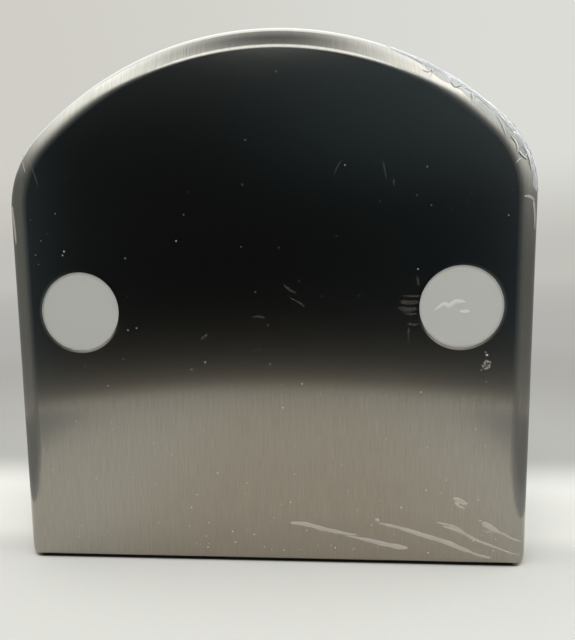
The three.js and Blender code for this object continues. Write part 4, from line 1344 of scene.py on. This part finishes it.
FINISHES = {
    "brushed_stainless": brushed_stainless,
    # Cold rolled stainless sheet, as it leaves the mill: dull, even and faintly cloudy
    "mill_stainless": lambda: mottled_metal(
        "cold_rolled_stainless_steel", "mill", "mill_shade", 18, (0.34, 0.46), 0.004),
    # Bright zinc plated steel, passivated: pale blue grey with a warm tint in patches
    "zinc_plate": lambda: mottled_metal("passivated_zinc_plate", "zinc", "zinc_tint", 7, (0.26, 0.4), 0.006),
    # Chromium plate over polished brass or steel: clear and cool, with hardly any haze
    "chrome_plate": lambda: mottled_metal(
        "polished_chromium_plate", "chrome", "chrome", 12, (0.08, 0.14), 0.0006),
    # Opal acrylic, cast and matt on its face: a flat even pale grey with no sharp reflection
    "frosted_pane": lambda: moulded("matt_opal_acrylic", "pane", 0.97, (0.5, 0.6), 0.5, 0.004),
    # Polypropylene, moulded against a spark eroded tool: near black and softly matt
    "black_plastic": lambda: moulded("moulded_polypropylene", "black", 0.8, (0.42, 0.58), 0.6, 0.03),
    # Acetal, moulded: a dense warm white with a waxy sheen
    "white_plastic": lambda: moulded("moulded_acetal", "white", 0.97, (0.32, 0.42), 1.5, 0.01),
    # The film folded on itself, which clouds it half way
    "folded_film": lambda: film("folded_polyethylene_film", "film", 0.42),
    # The film creased hard or cut, which whitens it; on the shoulder's white creases it is also a painted
    # highlight for their glints
    "creased_film": lambda: film("creased_polyethylene_film", "crease", 0.8),
    # The film scuffed, with a faint haze
    "scuffed_film": lambda: film("scuffed_polyethylene_film", "film", 0.022),
    "clear_film": clear_film,
}
MADE_FINISHES = {}


def finish_of(name):
    """The material of a finish, made the first time that it is asked for."""
    if name not in MADE_FINISHES:
        MADE_FINISHES[name] = FINISHES[name]()
    return MADE_FINISHES[name]


# Stage: floor, background, cards, lamps and camera

FLOOR_REACH = 6.0
CARD_DISTANCE = 500 * MM
CARD_TOP = 470 * MM
CARD_RISE = 260 * MM
CARD_FOOT = 1 * MM
CARD_TINT = (0.93, 0.975, 1, 1)
FOOT_HEIGHT = 0.03
# How dark the painted shade on the floor under the cabinet is
PAINTED_SHADE_UNDER = 0.06


def graded(tree, *terms):
    """Adds up terms, each the product of its parts.

    A part is a number, an output, or a ramp: the value that it follows, where it starts and ends,
    the levels there, and LINEAR where it isn't smooth.
    """
    total = None
    for term in terms:
        level = None
        for part in term:
            if isinstance(part, tuple):
                shape = part[5] if len(part) > 5 else "SMOOTHSTEP"
                part = add_node(tree, "MapRange", part[:5], interpolation_type=shape)[0]
            if level is not None:
                part = add_node(tree, "Math", (level, part), operation="MULTIPLY")[0]
            level = part
        if total is not None:
            level = add_node(tree, "Math", (total, level), operation="ADD")[0]
        total = level
    return total


def floor_material():
    """Pale matt table top, with painted shade toward the back, a painted shadow in front of the cabinet and
    painted shade under it, fading into the background far away.
    """
    material, tree, shader = new_material("pale_laminate", Roughness=0.6, Specular_IOR_Level=0.0)
    place = add_node(tree, "TexCoord")["Object"]
    x, y = add_node(tree, "SeparateXYZ", (place,))[:2]
    grain = add_node(tree, "TexNoise", {"Vector": place, "Scale": 1 / (3 * MM), "Detail": 2.0})[0]
    # Painted shade: the floor under the front and the housing is darkened, for the deep shade in the gap
    # under them
    beside = add_node(tree, "Math", (x,), operation="ABSOLUTE")[0]
    outside = graded(tree, [(beside, HALF_WIDTH - 9 * MM, HALF_WIDTH - 4 * MM, 0, 1)])
    for ramp in ((y, FRONT_Y + 2.8 * MM, FRONT_Y + 1.2 * MM, 0, 1), (y, BACK_Y - 2 * MM, BACK_Y, 0, 1)):
        outside = add_node(tree, "Math", (outside, graded(tree, [ramp])), operation="MAXIMUM")[0]
    # Painted shade toward the back, a painted shadow of the cabinet in front of it and the painted shade
    # under it; only the grain is the table's own
    shade = graded(tree, [(y, 0.055, 0.145, 1, 0.53), (y, -0.014, -0.05, 1, 0.76),
                          (outside, 0, 1, PAINTED_SHADE_UNDER, 1, "LINEAR"), (grain, 0.3, 0.7, 0.99, 1)])
    tone = add_node(tree, "VectorMath", {0: tone_of("floor")[:3], "Scale": shade}, operation="SCALE")[0]
    # Painted reflection: only in the steel's mirrored rays, the table is tinted warmer in the middle than at
    # the sides
    aside = add_node(tree, "Math", (x, 0.02), operation="SUBTRACT")[0]
    aside = add_node(tree, "Math", (aside,), operation="ABSOLUTE")[0]
    glossy = add_node(tree, "LightPath")["Is Glossy Ray"]
    painted_reflection_warmth = graded(tree, [glossy, (aside, 0.05, 0.17, 1, 0), (y, -0.5, -0.1, 0.5, 1)])
    tone_with_painted_reflection = add_node(tree, "Mix", {0: painted_reflection_warmth, 6: tone, 7: (0.89, 0.85, 0.8, 1)},
                      data_type="RGBA", blend_type="MULTIPLY")[2]
    feed(tree, shader, Base_Color=tone_with_painted_reflection)
    away = add_node(tree, "VectorMath", (place,), operation="LENGTH")["Value"]
    haze = {0: graded(tree, [(away, 0.6, 5, 0, 1)]), 6: tone_of("wall_foot"), 7: tone_of("wall_edge")}
    haze = add_node(tree, "Mix", haze, data_type="RGBA")[2]
    glow = add_node(tree, "Emission", (haze, 1.0))[0]
    far = graded(tree, [(away, 0.5, 1, 0, 1)])
    surface = add_node(tree, "MixShader", (far, shader.outputs[0], glow))[0]
    tree.links.new(surface, tree.nodes["Material Output"].inputs["Surface"])
    return material


def card_material(name, lights):
    """A card that only glows; the function lights makes its colours and strengths from the place on it."""
    material, tree, shader = new_material(name)
    tree.nodes.remove(shader)
    place = add_node(tree, "SeparateXYZ", (add_node(tree, "TexCoord")["Object"],))
    surface = None
    for tint, strength in lights(tree, *place):
        glow = add_node(tree, "Emission", (tint, strength))[0]
        surface = glow if surface is None else add_node(tree, "AddShader", (surface, glow))[0]
    tree.links.new(surface, tree.nodes["Material Output"].inputs["Surface"])
    return material


def dim_room(tree, x, y, z):
    """The room in the polished front: dark ahead, lighter to the sides and above, warm at its foot."""
    total = graded(
        tree, [(x, -0.265, -0.47, 0, 0.26)], [(x, 0.24, 0.46, 0, 0.23)], [(x, 0, 0.2, 0, 0.008, "LINEAR")],
        [(z, 0.22, 0.36, 0, 1), (x, -0.1, 0.25, 0, 0.055, "LINEAR")],
        [(z, 0.32, 0.75, 0, 2.4), (x, -0.2, -0.5, 0, 1)],
        [(z, 0.17, 0.56, 0, 2), (x, 0.27, 0.5, 0, 1)], [(z, 0.3, 0.46, 0, 0.012)])
    pale = graded(tree, [(total, 0, 0.2, 0, 1, "LINEAR")])
    tint = add_node(tree, "Mix", {0: pale, 6: (0.5, 1, 1.35, 1), 7: (0.93, 0.99, 1, 1)}, data_type="RGBA")[2]
    foot = add_node(tree, "Math", (2.718, graded(tree, [z, -1 / FOOT_HEIGHT])), operation="POWER")[0]
    return (tint, graded(tree, [total], [0.003])), ((1, 0.95, 0.84, 1), graded(tree, [foot, 0.24]))


def overhead(tree, x, y, z):
    """Dim in the middle, brighter to both sides and at the ends, and brightest on the right."""
    return [(CARD_TINT, graded(
        tree, [(y, -1.12, -1.35, 0.21, 3.6)], [(y, -0.45, 0.09, 0, 0.5)], [(x, -0.03, -0.57, 0, 2.6)],
        [(x, 0.05, 0.4, 0, 2)], [(x, 0.38, 0.56, 0, 1.2)], [(x, 0.6, 1.25, 0, -1.2)]))]


def side_flag(tree, x, y, z):
    """Dimmer away from the cabinet."""
    aside = add_node(tree, "Math", (x,), operation="ABSOLUTE")[0]
    return [(CARD_TINT, graded(tree, [(aside, 0.22, 0.31, 0.46, 0.31)]))]


def set_card(card, material, diffuse=False, transmission=False):
    """Gives a card its glow, and keeps it out of sight of nearly everything but polished metal."""
    card.data.materials.append(material)
    card.visible_camera = False
    card.visible_shadow = False
    card.visible_diffuse = diffuse
    card.visible_transmission = transmission


class DISPENSER_OT_stage(bpy.types.Operator):
    """Set the pale floor and background, the cards, the lamps and the camera"""

    bl_idname = "dispenser.stage"
    bl_label = "Stage"

    def execute(self, context):
        self.floor()
        self.room_card()
        self.cards()
        self.world()
        self.lamps()
        self.camera()
        context.scene.view_settings.view_transform = "Standard"
        return {"FINISHED"}

    def floor(self):
        deselect()
        bpy.ops.mesh.primitive_circle_add(vertices=96, radius=FLOOR_REACH, fill_type="NGON")
        floor = bpy.context.object
        floor.name = "floor"
        floor.data.materials.append(floor_material())

    def room_card(self):
        """A curved card round the front, open behind."""
        steps = 72
        half_turn = math.radians(120)
        deselect()
        bpy.ops.mesh.primitive_grid_add(x_subdivisions=steps, y_subdivisions=1, size=1)
        card = bpy.context.object
        card.name = "room_card"
        for index, vert in enumerate(card.data.vertices):
            row, i = divmod(index, steps + 1)
            angle = half_turn * (2 * i / steps - 1)
            top = CARD_TOP + CARD_RISE * math.sin(angle) ** 2
            x, y = CARD_DISTANCE * math.sin(angle), FRONT_Y - CARD_DISTANCE * math.cos(angle)
            vert.co = (x, y, top if row else CARD_FOOT)
        set_card(card, card_material("dim_room_card", dim_room), diffuse=True)

    def cards(self):
        """A card overhead, mirrored in the crown's rim, and strips on the table beside the cabinet."""
        above = card_material("overhead_card", overhead)
        flag = card_material("side_flag", side_flag)
        dim = card_material("back_card", lambda *tree_and_place: [(CARD_TINT, 0.35)])
        for name, material, low, high in (
            ("overhead_card", above, (-0.57, -1.35, 0.9), (1.25, 0.09, 0.9)),
            ("flag_left", flag, (-0.6, -0.42, CARD_FOOT), (-0.235, 0.5, CARD_FOOT)),
            ("flag_right", flag, (0.215, -0.42, CARD_FOOT), (0.6, 0.5, CARD_FOOT)),
            ("back_card", dim, (-1.3, 0.62, CARD_FOOT), (1.3, 0.63, 0.5)),
        ):
            set_card(box_piece(name, low, high), material, transmission=material == above)

    def world(self):
        """Pale walls to the eye and through film, grey for light, and a bright room for polished metal."""
        world = bpy.data.worlds.new("pale_room")
        bpy.context.scene.world = world
        world.use_nodes = True
        tree = world.node_tree
        path = add_node(tree, "LightPath")
        through = path["Is Transmission Ray"]
        mirrored = add_node(tree, "Math", (path["Glossy Depth"], 0.5), operation="GREATER_THAN")[0]
        seen = add_node(tree, "Math", (through, mirrored), operation="GREATER_THAN")[0]
        seen = add_node(tree, "Math", (path["Is Camera Ray"], seen), operation="MAXIMUM")[0]
        bright = graded(tree, [through, mirrored])
        bright = add_node(tree, "Math", (bright, path["Is Glossy Ray"]), operation="MAXIMUM")[0]
        x, y, z = add_node(tree, "SeparateXYZ", (add_node(tree, "TexCoord")["Generated"],))
        patch = graded(tree, [(x, -0.16, -0.3, 0, 1), (y, 0.6, 0.85, 0, 1),
                              (z, 0.05, 0.12, 0, 1), (z, 0.4, 0.55, 1, 0)])
        lit = add_node(tree, "Mix", {0: patch, 6: (1.95, 2.05, 2.1, 1), 7: (0.8, 0.84, 0.86, 1)},
                       data_type="RGBA")[2]
        lit = add_node(tree, "Mix", {0: bright, 6: (0.4, 0.4, 0.39, 1), 7: lit}, data_type="RGBA")[2]
        across_wall = graded(tree, [(x, -0.4, 0.35, 0, 1)])
        wall = add_node(tree, "Mix", {0: across_wall, 6: tone_of("wall"), 7: tone_of("wall_right")},
                        data_type="RGBA")[2]
        above_edge = graded(tree, [(z, 0, 0.15, 0, 1)])
        wall = add_node(tree, "Mix", {0: above_edge, 6: tone_of("wall_edge"), 7: wall}, data_type="RGBA")[2]
        tone = add_node(tree, "Mix", {0: seen, 6: lit, 7: wall}, data_type="RGBA")[2]
        tree.links.new(tone, tree.nodes["Background"].inputs["Color"])

    def lamps(self):
        """Soft lamps above and ahead; the cards take their place in the metal."""
        aim = Vector((0, 0, 0.1))
        for name, place, size, power in (
            ("top_lamp", (-0.1, -0.3, 1.45), 1.1, 16.0),
            ("front_lamp", (0.0, -1.3, 0.6), 0.8, 6.9),
        ):
            data = bpy.data.lights.new(name, "AREA")
            data.size = size
            data.energy = power
            data.color = (1.0, 0.99, 0.97)
            lamp = bpy.data.objects.new(name, data)
            lamp.location = place
            lamp.rotation_euler = (aim - Vector(place)).to_track_quat("-Z", "Y").to_euler()
            lamp.visible_glossy = False
            bpy.context.scene.collection.objects.link(lamp)

    def camera(self):
        """The photograph's view, fitted to the windows, the straight sides and the base line."""
        image_width, image_height = 575, 640
        focal_pixels = 622
        place = (17.7 * MM, -412.5 * MM, 181.3 * MM)
        centre_x, centre_y = 241.7, 337.7
        yaw, pitch, roll = (math.radians(angle) for angle in (-5.15, 7.32, 1.21))
        ahead = Vector((math.sin(yaw) * math.cos(pitch), math.cos(yaw) * math.cos(pitch), -math.sin(pitch)))
        level = Vector((math.cos(yaw), -math.sin(yaw), 0))
        down = ahead.cross(level)
        right = math.cos(roll) * level + math.sin(roll) * down
        below = -math.sin(roll) * level + math.cos(roll) * down
        data = bpy.data.cameras.new("camera")
        data.sensor_width = 36
        data.lens = focal_pixels * data.sensor_width / image_height
        data.shift_x = (image_width / 2 - centre_x) / image_height
        data.shift_y = (centre_y - image_height / 2) / image_height
        data.clip_start = 0.01
        camera = bpy.data.objects.new("camera", data)
        turn = Matrix((right, -below, -ahead)).transposed().to_4x4()
        camera.matrix_world = Matrix.Translation(place) @ turn
        bpy.context.scene.collection.objects.link(camera)
        bpy.context.scene.camera = camera


class DISPENSER_PT_panel(bpy.types.Panel):
    """Lists the pieces of the dispenser"""

    bl_idname = "DISPENSER_PT_panel"
    bl_label = "Napkin dispenser"
    bl_space_type = "VIEW_3D"
    bl_region_type = "UI"
    bl_category = "Dispenser"

    def draw(self, context):
        for operator in PIECES:
            self.layout.operator(operator.bl_idname)


PIECES = (
    DISPENSER_OT_front,
    DISPENSER_OT_housing,
    DISPENSER_OT_windows,
    DISPENSER_OT_hinge,
    DISPENSER_OT_rivets,
    DISPENSER_OT_lock,
    DISPENSER_OT_tray,
    DISPENSER_OT_bays,
    DISPENSER_OT_followers,
    DISPENSER_OT_film,
    DISPENSER_OT_stage,
)
GROUPS = (CabinetSizes, FilmSizes, Colours)
SETTINGS = {
    "cabinet_sizes": CabinetSizes,
    "film_sizes": FilmSizes,
    "dispenser_colours": Colours,
}


def register():
    for part in GROUPS + PIECES + (DISPENSER_PT_panel,):
        bpy.utils.register_class(part)
    for name, group in SETTINGS.items():
        setattr(bpy.types.Scene, name, PointerProperty(type=group))


def unregister():
    for name in SETTINGS:
        delattr(bpy.types.Scene, name)
    for part in reversed(GROUPS + PIECES + (DISPENSER_PT_panel,)):
        bpy.utils.unregister_class(part)


def main():
    register()
    for piece in PIECES:
        group, name = piece.bl_idname.split(".")
        getattr(getattr(bpy.ops, group), name)()


if __name__ == "__main__":
    main()
